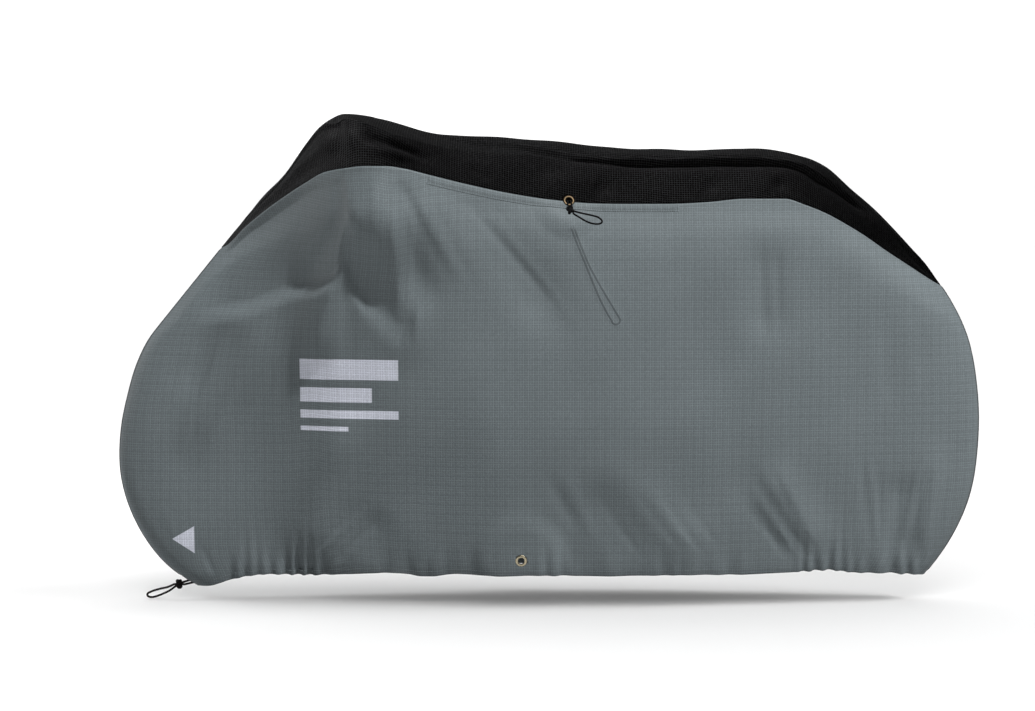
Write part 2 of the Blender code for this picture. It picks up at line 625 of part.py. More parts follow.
def knot(name, centre, size, toward, material):
    """A tight knot, as a rounded body longer along one direction."""
    bpy.ops.mesh.primitive_uv_sphere_add(segments=14, ring_count=9, radius=0.5)
    body = bpy.context.object
    body.name = name
    body.data.name = name
    body.data.materials.append(material)
    for owner in list(body.users_collection):
        owner.objects.unlink(body)
    COVER.objects.link(body)
    turn = Vector(toward).to_track_quat("Z", "Y").to_matrix().to_4x4()
    body.matrix_world = Matrix.Translation(Vector(centre)) @ turn @ Matrix.Diagonal((*size, 1.0))
    return body


def leaving(body, direction, gap=0.0003):
    """Two points straight out of a knot: the first a gap off its face, the second further out."""
    way = Vector(direction).normalized()
    turn = body.matrix_world.inverted().to_3x3()
    reach = 0.5 / (turn @ way).length
    centre = body.matrix_world.translation
    return [np.array(centre + way * (reach + gap)), np.array(centre + way * (reach + gap + 0.004))]


# ---- build ---------------------------------------------------------------------------------
GREY = (0.135, 0.165, 0.175)
BLACK = (0.012, 0.012, 0.013)
BRASS = (0.30, 0.22, 0.10)

near_panel = side_panel("near_side_panel", NEAR, finish_of("near_side_cloth", GREY, 0.62))
far_panel = side_panel("far_side_panel", FAR, finish_of("far_side_cloth", GREY, 0.62))
gusset = top_gusset("top_gusset", finish_of("gusset_cloth", BLACK, 0.55))
strip = casing_strip("casing_strip", finish_of("casing_cloth", GREY, 0.62))
hem_patch("near_hem_patch", NEAR, finish_of("near_hem_cloth", GREY, 0.62))
hem_patch("far_hem_patch", FAR, finish_of("far_hem_cloth", GREY, 0.62))

eyelet("top_eyelet", TOP_POINT, TOP_NORMAL, finish_of("top_brass", BRASS, 0.35, 1.0))
for side, title in ((NEAR, "near"), (FAR, "far")):
    point, normal = HEM_POINTS[side]
    eyelet(f"{title}_hem_eyelet", point, normal, finish_of(f"{title}_brass", BRASS, 0.35, 1.0))
cut_round(gusset, TOP_POINT, TOP_NORMAL)
cut_round(near_panel, TOP_POINT, TOP_NORMAL)

# The strip leaves room for the top eyelet's flange.
bpy.ops.mesh.primitive_cylinder_add(vertices=32, radius=EYELET_OUT + 0.0006, depth=0.02)
notch = bpy.context.object
notch.name = "notch_in_strip"
notch.matrix_world = frame_at(TOP_POINT, TOP_NORMAL)
for owner in list(notch.users_collection):
    owner.objects.unlink(notch)
CUTTERS.objects.link(notch)
notch.hide_render = True
notch.display_type = "WIRE"
cut = strip.modifiers.new("notch", "BOOLEAN")
cut.operation = "DIFFERENCE"
cut.solver = "EXACT"
cut.object = notch

# Top cord: n is away from the cloth, d down along it, a along the seam toward the rear.
n = TOP_NORMAL
d = np.array([0.0, 0.0, -1.0]) + n[2] * n
d /= np.linalg.norm(d)
a = np.cross(n, d)
a *= np.sign(a[0])


def by_eyelet(along, down, out):
    return TOP_POINT + along * a + down * d + out * n


dark = finish_of("cord_black", (0.010, 0.010, 0.011), 0.75)
knot_centre = by_eyelet(-0.0005, 0.0265, 0.0110)
knot_size = (0.0150, 0.0150, 0.0180)
top_knot = knot("top_cord_knot", knot_centre, knot_size, d + 0.35 * a,
                finish_of("top_knot", (0.010, 0.010, 0.011), 0.8))

# Outer loop: both ends leave the knot's lower right, and the loop droops to the rear.
cord("top_cord_loop", leaving(top_knot, 0.60 * a + 0.80 * d) + [
    by_eyelet(0.0180, 0.0440, 0.0105),
    by_eyelet(0.0300, 0.0520, 0.0100),
    by_eyelet(0.0424, 0.0575, 0.0095),
    by_eyelet(0.0570, 0.0595, 0.0092),
    by_eyelet(0.0650, 0.0570, 0.0090),
    by_eyelet(0.0670, 0.0520, 0.0090),
    by_eyelet(0.0600, 0.0440, 0.0092),
    by_eyelet(0.0424, 0.0382, 0.0095),
    by_eyelet(0.0260, 0.0345, 0.0100),
] + leaving(top_knot, 0.95 * a + 0.35 * d)[::-1], CORD, dark)

# Inner loop: from the knot up through the eyelet, then down inside the near panel and back.
Hang = namedtuple("Hang", "x height apart")
INNER = (
    Hang(0.0500, 0.8420, 0.0028), Hang(0.0628, 0.8040, 0.0028), Hang(0.0791, 0.7650, 0.0028),
    Hang(0.0920, 0.7340, 0.0036), Hang(0.1070, 0.7040, 0.0055), Hang(0.1235, 0.6760, 0.0075),
    Hang(0.1370, 0.6530, 0.0090), Hang(0.1440, 0.6410, 0.0088),
)
LOOP_END = (0.1505, 0.6265)
INNER_CLEAR = 0.0052     # from the middle of the cloth to the middle of the cord


def behind_panel(x, z):
    """A point inside the near panel, close to the cloth."""
    rows = np.linspace(0.0, 0.6, 400)
    s = np.full(400, (x - FRONT_TIP[0]) / (REAR_TIP[0] - FRONT_TIP[0]))
    for _ in range(4):
        points = side_points(s, rows, NEAR)
        pick = int(np.argmin(np.abs(points[:, 2] - z)))
        s = s + (x - points[pick, 0]) / (REAR_TIP[0] - FRONT_TIP[0])
    return points[pick] + np.array([0.0, INNER_CLEAR, 0.0])


def inner_strand(sign):
    """One strand of the inner loop, to one side of its middle line."""
    middle = np.array([[row.x, row.height] for row in INNER])
    way = np.gradient(middle, axis=0)
    way /= np.linalg.norm(way, axis=1, keepdims=True)
    spread = sign * column(INNER, "apart")[:, None] * np.stack([-way[:, 1], way[:, 0]], -1)
    return [behind_panel(x, z) for x, z in middle + spread]


cord("inner_cord_loop", leaving(top_knot, -0.35 * a - 0.85 * d) + [
    by_eyelet(-0.0029, 0.0020, 0.0040),
    by_eyelet(-0.0028, 0.0000, -0.0030),
    by_eyelet(-0.0026, 0.0070, -0.0100),
    by_eyelet(0.0030, 0.0240, -0.0085),
] + inner_strand(-1) + [behind_panel(*LOOP_END)] + inner_strand(1)[::-1] + [
    by_eyelet(0.0095, 0.0240, -0.0085),
    by_eyelet(0.0034, 0.0070, -0.0100),
    by_eyelet(0.0029, 0.0000, -0.0030),
    by_eyelet(0.0029, 0.0020, 0.0040),
] + leaving(top_knot, 0.30 * a - 0.90 * d)[::-1], CORD, dark)

# Front hem cord: two strands out of the mouth to a knot, then a loop down to the floor.
brown = finish_of("hem_cord_dark", (0.020, 0.016, 0.014), 0.75)
front_knot = np.array([-0.8275, -0.004, 0.0335])
front_size = (0.0145, 0.0145, 0.0205)
hem_knot = knot("front_cord_knot", front_knot, front_size, (-0.10, 0.0, 1.0), brown)
Strand = namedtuple("Strand", "title y exit_x exit_height turn")
STRANDS = (
    Strand("near", -0.0038, -0.8005, 0.0350, -0.15), Strand("far", 0.0038, -0.8040, 0.0400, 0.30),
)
for row in STRANDS:
    cord(f"front_cord_{row.title}", [
        (-0.7640, row.y * 1.5, row.exit_height + 0.0105),
        (-0.7760, row.y * 1.2, row.exit_height + 0.0060),
        (-0.7890, row.y, row.exit_height + 0.0022),
        (row.exit_x, row.y, row.exit_height),
    ] + leaving(hem_knot, (0.95, row.y * 60, row.turn), 0.0007)[::-1], HEM_CORD, brown)
cord("front_cord_loop", leaving(hem_knot, (-0.95, -0.30, -0.12), 0.0006) + [
    (-0.8530, -0.0120, 0.0265),
    (-0.8700, -0.0150, 0.0230),
    (-0.8880, -0.0170, 0.0175),
    (-0.8970, -0.0160, 0.0120),
    (-0.8960, -0.0140, 0.0065),
    (-0.8880, -0.0120, 0.0040),
    (-0.8770, -0.0100, 0.0060),
    (-0.8600, -0.0080, 0.0125),
    (-0.8470, -0.0060, 0.0190),
] + leaving(hem_knot, (-0.85, 0.10, -0.65), 0.0006)[::-1], HEM_CORD, brown)

# The origin goes under the top, on the inner face of the gusset's crest.
MOUNT_S = (0.0 - FRONT_TIP[0]) / (REAR_TIP[0] - FRONT_TIP[0])
crest = gusset_points(MOUNT_S, 0.0)
hold = bpy.data.objects.new("held_here", None)
COVER.objects.link(hold)
hold.location = (0.0, 0.0, -(float(crest[2]) - CLOTH / 2))
for thing in list(COVER.objects) + list(CUTTERS.objects):
    if thing is not hold:
        thing.parent = hold
bpy.context.view_layer.update()
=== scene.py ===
"""Looks of a fitted cloth cover: ripstop sides, a black top gusset, eyelets and drawcords.

Metres, +Z up, the front end towards -X and the near side towards -Y. Heights are above the
ground, and every finished mesh is moved down by the drop that the CAD frame has.
"""

from dataclasses import dataclass
from enum import Enum
from functools import cached_property
import logging
import math
from typing import Callable, NamedTuple, Optional, Sequence, Union

import bpy
import numpy as np
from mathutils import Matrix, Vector


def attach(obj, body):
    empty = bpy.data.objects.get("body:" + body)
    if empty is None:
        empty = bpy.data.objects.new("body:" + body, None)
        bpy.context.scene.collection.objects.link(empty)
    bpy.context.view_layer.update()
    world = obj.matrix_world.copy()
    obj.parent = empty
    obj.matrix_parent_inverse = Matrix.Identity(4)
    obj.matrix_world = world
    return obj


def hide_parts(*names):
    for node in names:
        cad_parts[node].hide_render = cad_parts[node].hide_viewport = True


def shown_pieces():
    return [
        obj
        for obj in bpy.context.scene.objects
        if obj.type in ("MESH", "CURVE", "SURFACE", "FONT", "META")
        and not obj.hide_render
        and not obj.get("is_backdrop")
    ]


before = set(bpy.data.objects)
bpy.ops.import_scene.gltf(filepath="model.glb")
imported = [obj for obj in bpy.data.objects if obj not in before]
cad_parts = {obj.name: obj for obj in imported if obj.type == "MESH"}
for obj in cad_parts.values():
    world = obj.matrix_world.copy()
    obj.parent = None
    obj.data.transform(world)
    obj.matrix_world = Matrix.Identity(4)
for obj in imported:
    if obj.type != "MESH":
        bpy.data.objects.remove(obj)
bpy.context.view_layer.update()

log = logging.getLogger("cover")

Array = np.ndarray
Number = Union[float, "Wire"]
Colour = tuple[float, float, float]


# ---- tables --------------------------------------------------------------------------------
class Crest(NamedTuple):
    """A point of a line in the middle plane: x and height."""

    x: float
    height: float


class Top(NamedTuple):
    """One section of the top: the soft ridge beside the crest, then the seam to the side."""

    x: float
    ridge_out: float
    ridge_height: float
    seam_out: float
    seam_height: float


class Level(NamedTuple):
    """Half-widths of the side at one column, at the shares DOWN of the way to the hem."""

    s: float
    at_10: float
    at_30: float
    at_55: float
    at_80: float
    hem: float


class Arc(NamedTuple):
    """A point of an end seam: angle about its centre in degrees, and distance from it."""

    angle: float
    radius: float


class Fold(NamedTuple):
    """A fold: its ends, half-widths there, how far it stands out, and the bow of its middle."""

    x0: float
    z0: float
    x1: float
    z1: float
    wide0: float
    wide1: float
    out: float
    bow: float = 0.0


class Ripple(NamedTuple):
    """A wave: its size, its radians for each unit of two coordinates, and its phase."""

    size: float
    by_first: float
    by_second: float
    phase: float


class Pucker(NamedTuple):
    """A stretch of tight puckers over the hem: first and last x, spacing, size and reach up."""

    x0: float
    x1: float
    spacing: float
    size: float
    reach: float


class Hang(NamedTuple):
    """A point of the inner loop's middle line, and half the gap between its strands."""

    x: float
    height: float
    apart: float


def table(kind: type, rows: Sequence[tuple], parts: Sequence[float] = (1000,) * 8) -> tuple:
    """A table that is written in millimetres and in thousandths of a share.

    Args:
        kind: Type of its rows.
        rows: The rows' values.
        parts: What each column is divided by.

    Returns:
        The rows as that type, in metres and shares.
    """
    return tuple(kind(*(value / part for value, part in zip(row, parts))) for row in rows)


CREST = table(Crest, (
    (-727, 784.5), (-675, 847), (-631, 899), (-586, 941), (-542, 1003), (-497, 1058), (-453, 1079),
    (-409, 1074), (-320, 1052), (-232, 1033), (-144, 1028), (-55, 1024), (33, 1015), (121, 1006),
    (298, 999), (431, 1002), (519, 995), (564, 984), (608, 962), (652, 924), (742, 845), (786, 798),
    (831, 747), (865, 701.5),
))
TOP = table(Top, (
    (-727, 0.4, 783.8, 0.8, 783), (-716, 7, 793, 14, 788), (-670, 30, 848, 52, 831),
    (-624, 60, 898, 88, 868), (-577, 93, 952, 124, 901), (-531, 130, 1013, 162, 930),
    (-485, 175, 1058, 205, 955), (-440, 208, 1070, 243, 964), (-397, 226, 1060, 266, 969),
    (-354, 226, 1043, 274, 969), (-311, 208, 1028, 266, 963), (-269, 185, 1014, 250, 952),
    (-184, 150, 1000, 220, 930), (-99, 130, 993, 198, 911), (-13, 115, 987, 182, 896.5),
    (74, 104, 981, 171, 887.2), (160, 97, 976, 162, 885), (247, 90, 975, 153, 884.8),
    (334, 83, 977, 145, 888), (422, 78, 979, 136, 895.5), (509, 73, 974, 126, 895.2),
    (553, 68, 964, 119, 882), (598, 60, 943, 109, 864), (643, 51, 912, 96, 840),
    (688, 42, 874, 82, 813), (733, 33, 834, 66, 782), (778, 23, 790, 49, 753), (825, 12, 740, 27, 723),
    (853, 6, 713, 12, 706), (865, 0.4, 700.8, 0.8, 700),
))
SIDE = table(Level, (
    (0, 0, 0, 0, 0, 0), (35, 36, 30, 26, 22, 18), (80, 82, 58, 50, 42, 36), (140, 162, 104, 78, 62, 53),
    (190, 242, 152, 106, 80, 68), (235, 282, 206, 136, 98, 83), (280, 272, 212, 156, 114, 97),
    (340, 236, 205, 172, 132, 113), (450, 196, 194, 184, 150, 130), (600, 170, 178, 176, 146, 125),
    (740, 146, 148, 142, 118, 100), (860, 104, 100, 92, 78, 66), (940, 56, 54, 52, 45, 38),
    (1000, 0, 0, 0, 0, 0),
))
FRONT_ARC = table(Arc, (
    (143.5, 404), (154, 396.5), (165, 390), (176, 391.5), (190, 396.5), (202, 397), (215, 396),
    (224, 393), (234.8, 383.1),
), (1, 1000))
REAR_ARC = table(Arc, (
    (33.5, 547.5), (29.4, 549), (21.5, 550.8), (14.4, 547.8), (7.2, 544.8), (-4, 544.8), (-14, 550.1),
    (-21, 552.2), (-29, 551.2), (-38.8, 547.7),
), (1, 1000))
HEM = table(Crest, (
    (-785, 30), (-755, 33), (-720, 44.5), (-676, 56), (-620, 62), (-541, 62), (-452, 67), (-341, 73),
    (-272, 66), (-200, 73), (-120, 71), (-12, 73), (100, 70), (208, 71), (320, 71), (429, 69),
    (520, 72), (607, 75), (680, 67), (742, 65), (787, 61), (836, 55),
))
NEAR_FOLDS = table(Fold, (
    (-325, 940, -275, 680, 38, 38, -16), (-345, 930, -300, 560, 45, 45, 12),
    (-465, 800, -515, 555, 45, 45, 10), (-620, 640, -790, 340, 50, 50, 9),
    (-690, 620, -820, 480, 40, 40, -7), (-440, 420, -550, 100, 50, 50, 9),
    (-370, 200, -465, 80, 40, 40, -7), (-180, 900, 20, 620, 55, 55, -10),
    (100, 330, 330, 110, 55, 55, 8), (420, 290, 555, 110, 40, 40, -13),
    (470, 300, 600, 120, 45, 45, 10), (465, 800, 465, 600, 45, 45, -8),
    (770, 270, 785, 110, 40, 40, -9), (860, 340, 820, 120, 35, 35, 7),
))
FAR_FOLDS = table(Fold, (
    (-345, 930, -300, 560, 45, 45, 12), (-620, 640, -790, 340, 50, 50, 8),
    (-440, 420, -550, 100, 50, 50, 8), (-180, 900, 20, 620, 55, 55, -9),
    (420, 290, 555, 110, 45, 45, -11), (770, 270, 785, 110, 40, 40, -8),
))
# Fine folds of the near side, by where they are: the fan under the front bulge, the taut
# front end, the fan over the front hem, the long low diagonals, and the rear hem.
CREASES = table(Fold, (
    (-448, 829, -509, 551, 7, 10, 2.5), (-424, 865, -443, 680, 8, 12, -1.5),
    (-394, 940, -403, 823, 7, 9, -1.2), (-368, 944, -383, 768, 7, 10, 1),
    (-353, 898, -351, 615, 8, 12, -2.2), (-339, 866, -327, 659, 7, 10, 1.6),
    (-328, 944, -217, 719, 9, 15, -1.8), (-301, 931, -202, 735, 9, 13, 1.3),
    (-313, 918, -285, 768, 7, 9, 1.2), (-263, 922, -163, 702, 8, 12, -1),
    (-176, 885, 9, 668, 9, 12, -2), (-140, 882, 63, 614, 10, 14, 1.2),
    (-584, 676, -770, 318, 9, 10, 3, 9), (-691, 612, -812, 353, 9, 10, 3, 9),
    (-777, 574, -820, 476, 14, 12, 2.5, 4), (-629, 631, -739, 463, 10, 10, -1.8, 7),
    (-737, 562, -794, 362, 9, 9, -2, 7), (-592, 531, -648, 420, 9, 9, -1.5),
    (-399, 584, -455, 501, 9, 9, 1.2), (-488, 472, -512, 402, 8, 8, 1.5),
    (-459, 371, -532, 200, 20, 22, 2), (-436, 299, -550, 115, 8, 7, 2),
    (-382, 230, -523, 97, 8, 7, 2, 4), (-418, 193, -495, 84, 6, 6, 1.5),
    (-412, 236, -542, 92, 7, 7, -1.8), (-355, 211, -481, 87, 8, 7, -1.8, 4),
    (-324, 238, -436, 104, 9, 8, 1.2), (-478, 303, -559, 131, 8, 8, -1.2),
    (-851, 206, -839, 147, 8, 8, 1), (-776, 126, -744, 58, 7, 7, -1.5),
    (-6, 290, 60, 174, 12, 16, -1.8), (25, 308, 95, 151, 14, 14, 1.2), (108, 241, 196, 115, 9, 9, -1),
    (186, 255, 283, 129, 8, 8, -1.2), (216, 259, 310, 128, 8, 8, 1), (247, 241, 330, 123, 8, 8, -1.2),
    (295, 240, 367, 135, 8, 8, -1), (420, 290, 555, 110, 36, 36, 10), (770, 270, 785, 110, 35, 35, 5),
    (-370, 200, -465, 80, 34, 34, 4), (433, 306, 575, 94, 8, 9, -1.8, -4),
    (426, 225, 515, 109, 7, 8, -2, -4), (480, 306, 541, 195, 8, 8, -2),
    (437, 259, 541, 106, 8, 8, 2, -4), (504, 281, 590, 126, 9, 9, 1.8),
    (456, 785, 463, 581, 9, 10, -1.4), (473, 796, 481, 600, 8, 8, 1.2), (491, 805, 498, 622, 9, 9, -1),
    (683, 330, 709, 131, 11, 11, -2), (701, 321, 720, 140, 8, 8, 1.2), (719, 322, 732, 140, 8, 8, -1.8),
    (771, 279, 759, 125, 8, 8, -2), (824, 327, 786, 142, 7, 7, 3, 7),
    (845, 298, 798, 126, 7, 7, -2.5, 7), (873, 299, 824, 109, 9, 9, 3, 7),
    (897, 275, 855, 131, 7, 7, -1.5, 4), (915, 326, 868, 123, 8, 8, 2, 7),
    (727, 660, 751, 426, 24, 22, -2.2), (777, 672, 802, 452, 18, 18, 1.2),
))
# The crease under the front bulge, left to right, and the lower edge of the hollow beside it.
TUCK = table(Crest, (
    (-800, 615), (-735, 635), (-665, 648), (-615, 668), (-565, 688), (-515, 700), (-470, 715),
    (-445, 748),
))
LOBE = table(Crest, (
    (-445, 748), (-425, 690), (-400, 650), (-360, 610), (-325, 583), (-300, 595), (-290, 640),
))
# Folds of the black top, as x and the share across it times TOP_SPAN: the rolled ridge with
# the valleys beside it, the slack behind the crest, and the hollows of the front bulge.
TOP_CREASES = table(Fold, (
    (-270, 38, 100, 115, 7, 8, 6), (40, 113, 610, 119, 8, 8, 6.5), (-240, 60, 100, 136, 9, 11, -5.5),
    (40, 134, 630, 144, 11, 13, -8.5), (-230, 14, 100, 92, 11, 10, -8.5),
    (40, 90, 520, 94, 10, 10, -4.5), (-400, 172, -255, 186, 15, 12, -7, 8),
    (-470, 80, -450, 205, 14, 14, -9), (-680, 184, -400, 178, 16, 18, 6),
    (-640, 140, -440, 146, 14, 14, -4), (-400, 184, -300, 198, 12, 12, 6),
    (-180, 182, -125, 205, 12, 12, -4), (95, 190, 130, 200, 14, 12, -4),
    (335, 190, 360, 200, 12, 12, -3.5), (485, 188, 515, 200, 13, 13, -4),
    (560, 150, 700, 140, 20, 22, -9),
))
PUCKERS = table(Pucker, (
    (-740, -440, 34, 2.9, 55), (520, 860, 33, 3.6, 50), (-400, 520, 61, 1.4, 45),
))
# The inner loop's middle line, from the top eyelet down; LOOP_END is its lower end.
INNER = table(Hang, (
    (50, 842, 2.8), (62.8, 804, 2.8), (79.1, 765, 2.8), (92, 734, 3.6), (107, 704, 5.5),
    (123.5, 676, 7.5), (137, 653, 9), (144, 641, 8.8),
))
DOWN = (0.0, 0.10, 0.30, 0.55, 0.80, 1.0)
LOOP_END = (0.1505, 0.6265)
TOP_SPAN = 0.22
# Waves of the gathered hem by column, of the whole side by x and height, and of the top by x
# and the share across it.
GATHERS = (Ripple(0.0035, 10.0 * math.pi, 0.0, 0.4), Ripple(0.0025, 17.2 * math.pi, 0.0, 1.9))
UNEVEN = (
    Ripple(0.0009, 17.0, 9.0, 0.5), Ripple(0.0007, -11.0, 23.0, 1.3),
    Ripple(0.0004, 41.0, 13.0, 2.1), Ripple(0.0003, 29.0, -47.0, 0.2),
)
TOP_WAVES = (Ripple(0.0010, 31.0, 7.0, 0.0), Ripple(0.0007, 53.0, -19.0, 1.1))


class Side(Enum):
    """Which side of the middle plane a piece is on, as the sign of its Y."""

    NEAR = -1.0
    FAR = 1.0

    @property
    def title(self) -> str:
        """The side's name as the CAD nodes spell it."""
        return self.name.lower()


# ---- curves and grids ----------------------------------------------------------------------
def column(rows: Sequence[NamedTuple], name: str) -> Array:
    """One named column of a table, as an array."""
    return np.array([getattr(row, name) for row in rows])


def line(rows: Sequence[NamedTuple]) -> tuple[Array, Array]:
    """x and height of a line's points."""
    return column(rows, "x"), column(rows, "height")


def smoothstep(low: float, high: float, value: Array) -> Array:
    """3u^2 - 2u^3, where u goes from 0 at low to 1 at high."""
    share = np.clip((value - low) / (high - low), 0.0, 1.0)
    return share * share * (3 - 2 * share)


def window(low: float, full: float, last: float, high: float, value: Array) -> Array:
    """A smooth rise from 0 at low to 1 at full, and a fall from 1 at last to 0 at high."""
    return smoothstep(low, full, value) * (1 - smoothstep(last, high, value))


def hermite(first: Array, second: Array, slopes: tuple, step: Array, u: Array) -> Array:
    """Cubic between two values.

    Args:
        first: Value where u is 0.
        second: Value where u is 1.
        slopes: Slope at each of the two.
        step: Distance between them.
        u: Share of the way.

    Returns:
        first (1 + 2u)(1 - u)^2 + second u^2 (3 - 2u) + the slopes' u (1 - u)^2 and -u^2 (1 - u).
    """
    return (
        first * (1 + 2 * u) * (1 - u) ** 2 + second * u * u * (3 - 2 * u)
        + slopes[0] * step * u * (1 - u) ** 2 - slopes[1] * step * u * u * (1 - u)
    )


def through(knots: Array, values: Array, at: Array, even: bool = False) -> Array:
    """Cubic curve through the knots whose slopes are harmonic means, so it never overshoots.

    Args:
        knots: Rising places of the knots.
        values: Value at each knot, or at each knot an array like the places.
        at: Places to work the curve out at.
        even: Whether the means leave out how far apart the knots are.

    Returns:
        The curve's value at each place.
    """
    step = np.diff(knots)
    slope = np.diff(values, axis=0) / step.reshape((-1,) + (1,) * (values.ndim - 1))
    left, right = (1.0, 1.0) if even else (2 * step[1:] + step[:-1], step[1:] + 2 * step[:-1])
    same = slope[:-1] * slope[1:] > 0
    safe = np.where(same, slope[:-1] * slope[1:], 1.0)
    middle = (left + right) * safe / (left * slope[1:] + right * slope[:-1] + (~same))
    tangent = np.concatenate([slope[:1], np.where(same, middle, 0.0), slope[-1:]])
    at = np.clip(at, knots[0], knots[-1])
    cell = np.clip(np.searchsorted(knots, at, side="right") - 1, 0, len(step) - 1)

    def pick(array: Array, index: Array) -> Array:
        """The array's value in each place's own cell."""
        return array[index] if array.ndim == 1 else np.take_along_axis(array, index[None], 0)[0]

    slopes = (pick(tangent, cell), pick(tangent, cell + 1))
    return hermite(pick(values, cell), pick(values, cell + 1), slopes, step[cell],
                   (at - knots[cell]) / step[cell])


def graded(*stretches: tuple[float, float, int]) -> Array:
    """Rising places made of even stretches, each given as first, last and count of steps."""
    parts = [np.linspace(first, last, steps + 1)[:-1] for first, last, steps in stretches]
    return np.concatenate(parts + [[stretches[-1][1]]])


def unit(rows: Array) -> Array:
    """Each vector divided by its length."""
    return rows / np.maximum(np.linalg.norm(rows, axis=-1, keepdims=True), 1e-12)


def creased(folds: Sequence[Fold], x: Array, z: Array, past: float = 0.12,
            within: float = 0.30) -> Array:
    """Sum of out * exp(-(across / wide)^2), across measured from each fold's bowed line.

    Args:
        folds: The folds.
        x: First coordinate of the points.
        z: Second coordinate of the points.
        past: Share of its length past each end at which a fold has faded out.
        within: Share of its length within each end at which it is full.

    Returns:
        How far each point stands out.
    """
    total = np.zeros_like(x)
    for row in folds:
        run = np.array([row.x1 - row.x0, row.z1 - row.z0])
        length = np.hypot(*run)
        dx, dz = x - row.x0, z - row.z0
        along = (dx * run[0] + dz * run[1]) / length**2
        inside = np.clip(along, 0.0, 1.0)
        across = (dx * run[1] - dz * run[0]) / length - row.bow * 4 * inside * (1 - inside)
        wide = row.wide0 + (row.wide1 - row.wide0) * inside
        ends = window(-past, within, 1 - within, 1 + past, along)
        total += row.out * np.exp(-((across / wide) ** 2)) * ends
    return total


def rippled(waves: Sequence[Ripple], first: Array, second: Array) -> Array:
    """Sum of size * sin(by_first * first + by_second * second + phase)."""
    return sum(w.size * np.sin(w.by_first * first + w.by_second * second + w.phase) for w in waves)


def run_of(path: Array) -> Array:
    """Distance along a path at each of its points."""
    steps = np.linalg.norm(np.diff(path, axis=0), axis=1)
    return np.concatenate([[0.0], np.cumsum(steps)])


def sampled(run: Array, values: Array, at: Array) -> Array:
    """Vectors that are known at some distances along a path, read at others."""
    return np.stack([np.interp(at, run, values[:, axis]) for axis in range(3)], -1)


def smooth_path(knots: Sequence[Array], spacing: float) -> Array:
    """Cubic curve through the knots with centripetal spacing, sampled evenly.

    Args:
        knots: Points that the curve goes through.
        spacing: Distance between the samples.

    Returns:
        The sampled points.
    """
    knots = np.array(knots, float)
    gap = np.sqrt(np.linalg.norm(np.diff(knots, axis=0), axis=1))
    at = np.concatenate([[0.0], np.cumsum(gap)])
    slopes = np.gradient(knots, at, axis=0)
    fine = np.linspace(0.0, at[-1], 2000)
    cell = np.clip(np.searchsorted(at, fine, side="right") - 1, 0, len(gap) - 1)
    step = gap[cell][:, None]
    u = ((fine - at[cell]) / gap[cell])[:, None]
    curve = hermite(knots[cell], knots[cell + 1], (slopes[cell], slopes[cell + 1]), step, u)
    run = run_of(curve)
    even = np.linspace(0.0, run[-1], max(4, int(round(run[-1] / spacing)) + 1))
    return sampled(run, curve, even)


def normals_of(grid: Array, outward: tuple[float, float, float]) -> Array:
    """Unit normals of a grid of points, as the cross product of its two slopes."""
    normal = unit(np.cross(np.gradient(grid, axis=0), np.gradient(grid, axis=1)))
    return normal * np.sign(np.median(normal @ np.array(outward)))


def facing(down: Array, along: Array, side: Side) -> Array:
    """Unit normals across two slopes, turned away from the middle plane."""
    normal = unit(np.cross(down, along))
    return normal * np.sign(normal[..., 1:2] * side.value + 1e-9)


def stepped(face: Callable, s: Array, t: Array, step: float, side: Side) -> Array:
    """Outward normals of a face, by a step to each side of every point.

    Args:
        face: Gives points for columns and rows.
        s: Columns.
        t: Rows.
        step: Size of the step, which stays within the face.
        side: Side that the face is on.

    Returns:
        The normals.
    """
    along = face(np.minimum(s + step, 1.0), t) - face(np.maximum(s - step, 0.0), t)
    down = face(s, np.minimum(t + step, 1.0)) - face(s, np.maximum(t - step, 0.0))
    return facing(down, along, side)


# ---- the cover's own surface ---------------------------------------------------------------
@dataclass(frozen=True)
class End:
    """An end seam: a straight run from the gusset's tip, then round arcs down to the hem."""

    tip: tuple[float, float]
    hem: tuple[float, float]
    centre: tuple[float, float]
    arc: tuple
    softenings: int = 25

    @cached_property
    def seam(self) -> tuple[Array, Array]:
        """The seam, with the corner where the taut cloth meets the round end softened.

        Returns:
            Share of the way along, from 0 to 1, and the points as x and height.
        """
        turn = np.linspace(0.0, 1.0, 120)
        order = np.linspace(0.0, 1.0, len(self.arc))
        angle = np.radians(through(order, column(self.arc, "angle"), turn))
        radius = through(order, column(self.arc, "radius"), turn)
        way = np.stack([np.cos(angle), np.sin(angle)], -1)
        curve = np.array(self.centre) + radius[:, None] * way
        curve[-1] = self.hem
        rise = np.linspace(0.0, 1.0, 60)[:-1, None]
        path = np.concatenate([np.array(self.tip) + rise * (curve[0] - np.array(self.tip)), curve])
        for _ in range(self.softenings):
            path[1:-1] += 0.25 * (path[:-2] - 2 * path[1:-1] + path[2:])
        run = run_of(path)
        return run / run[-1], path


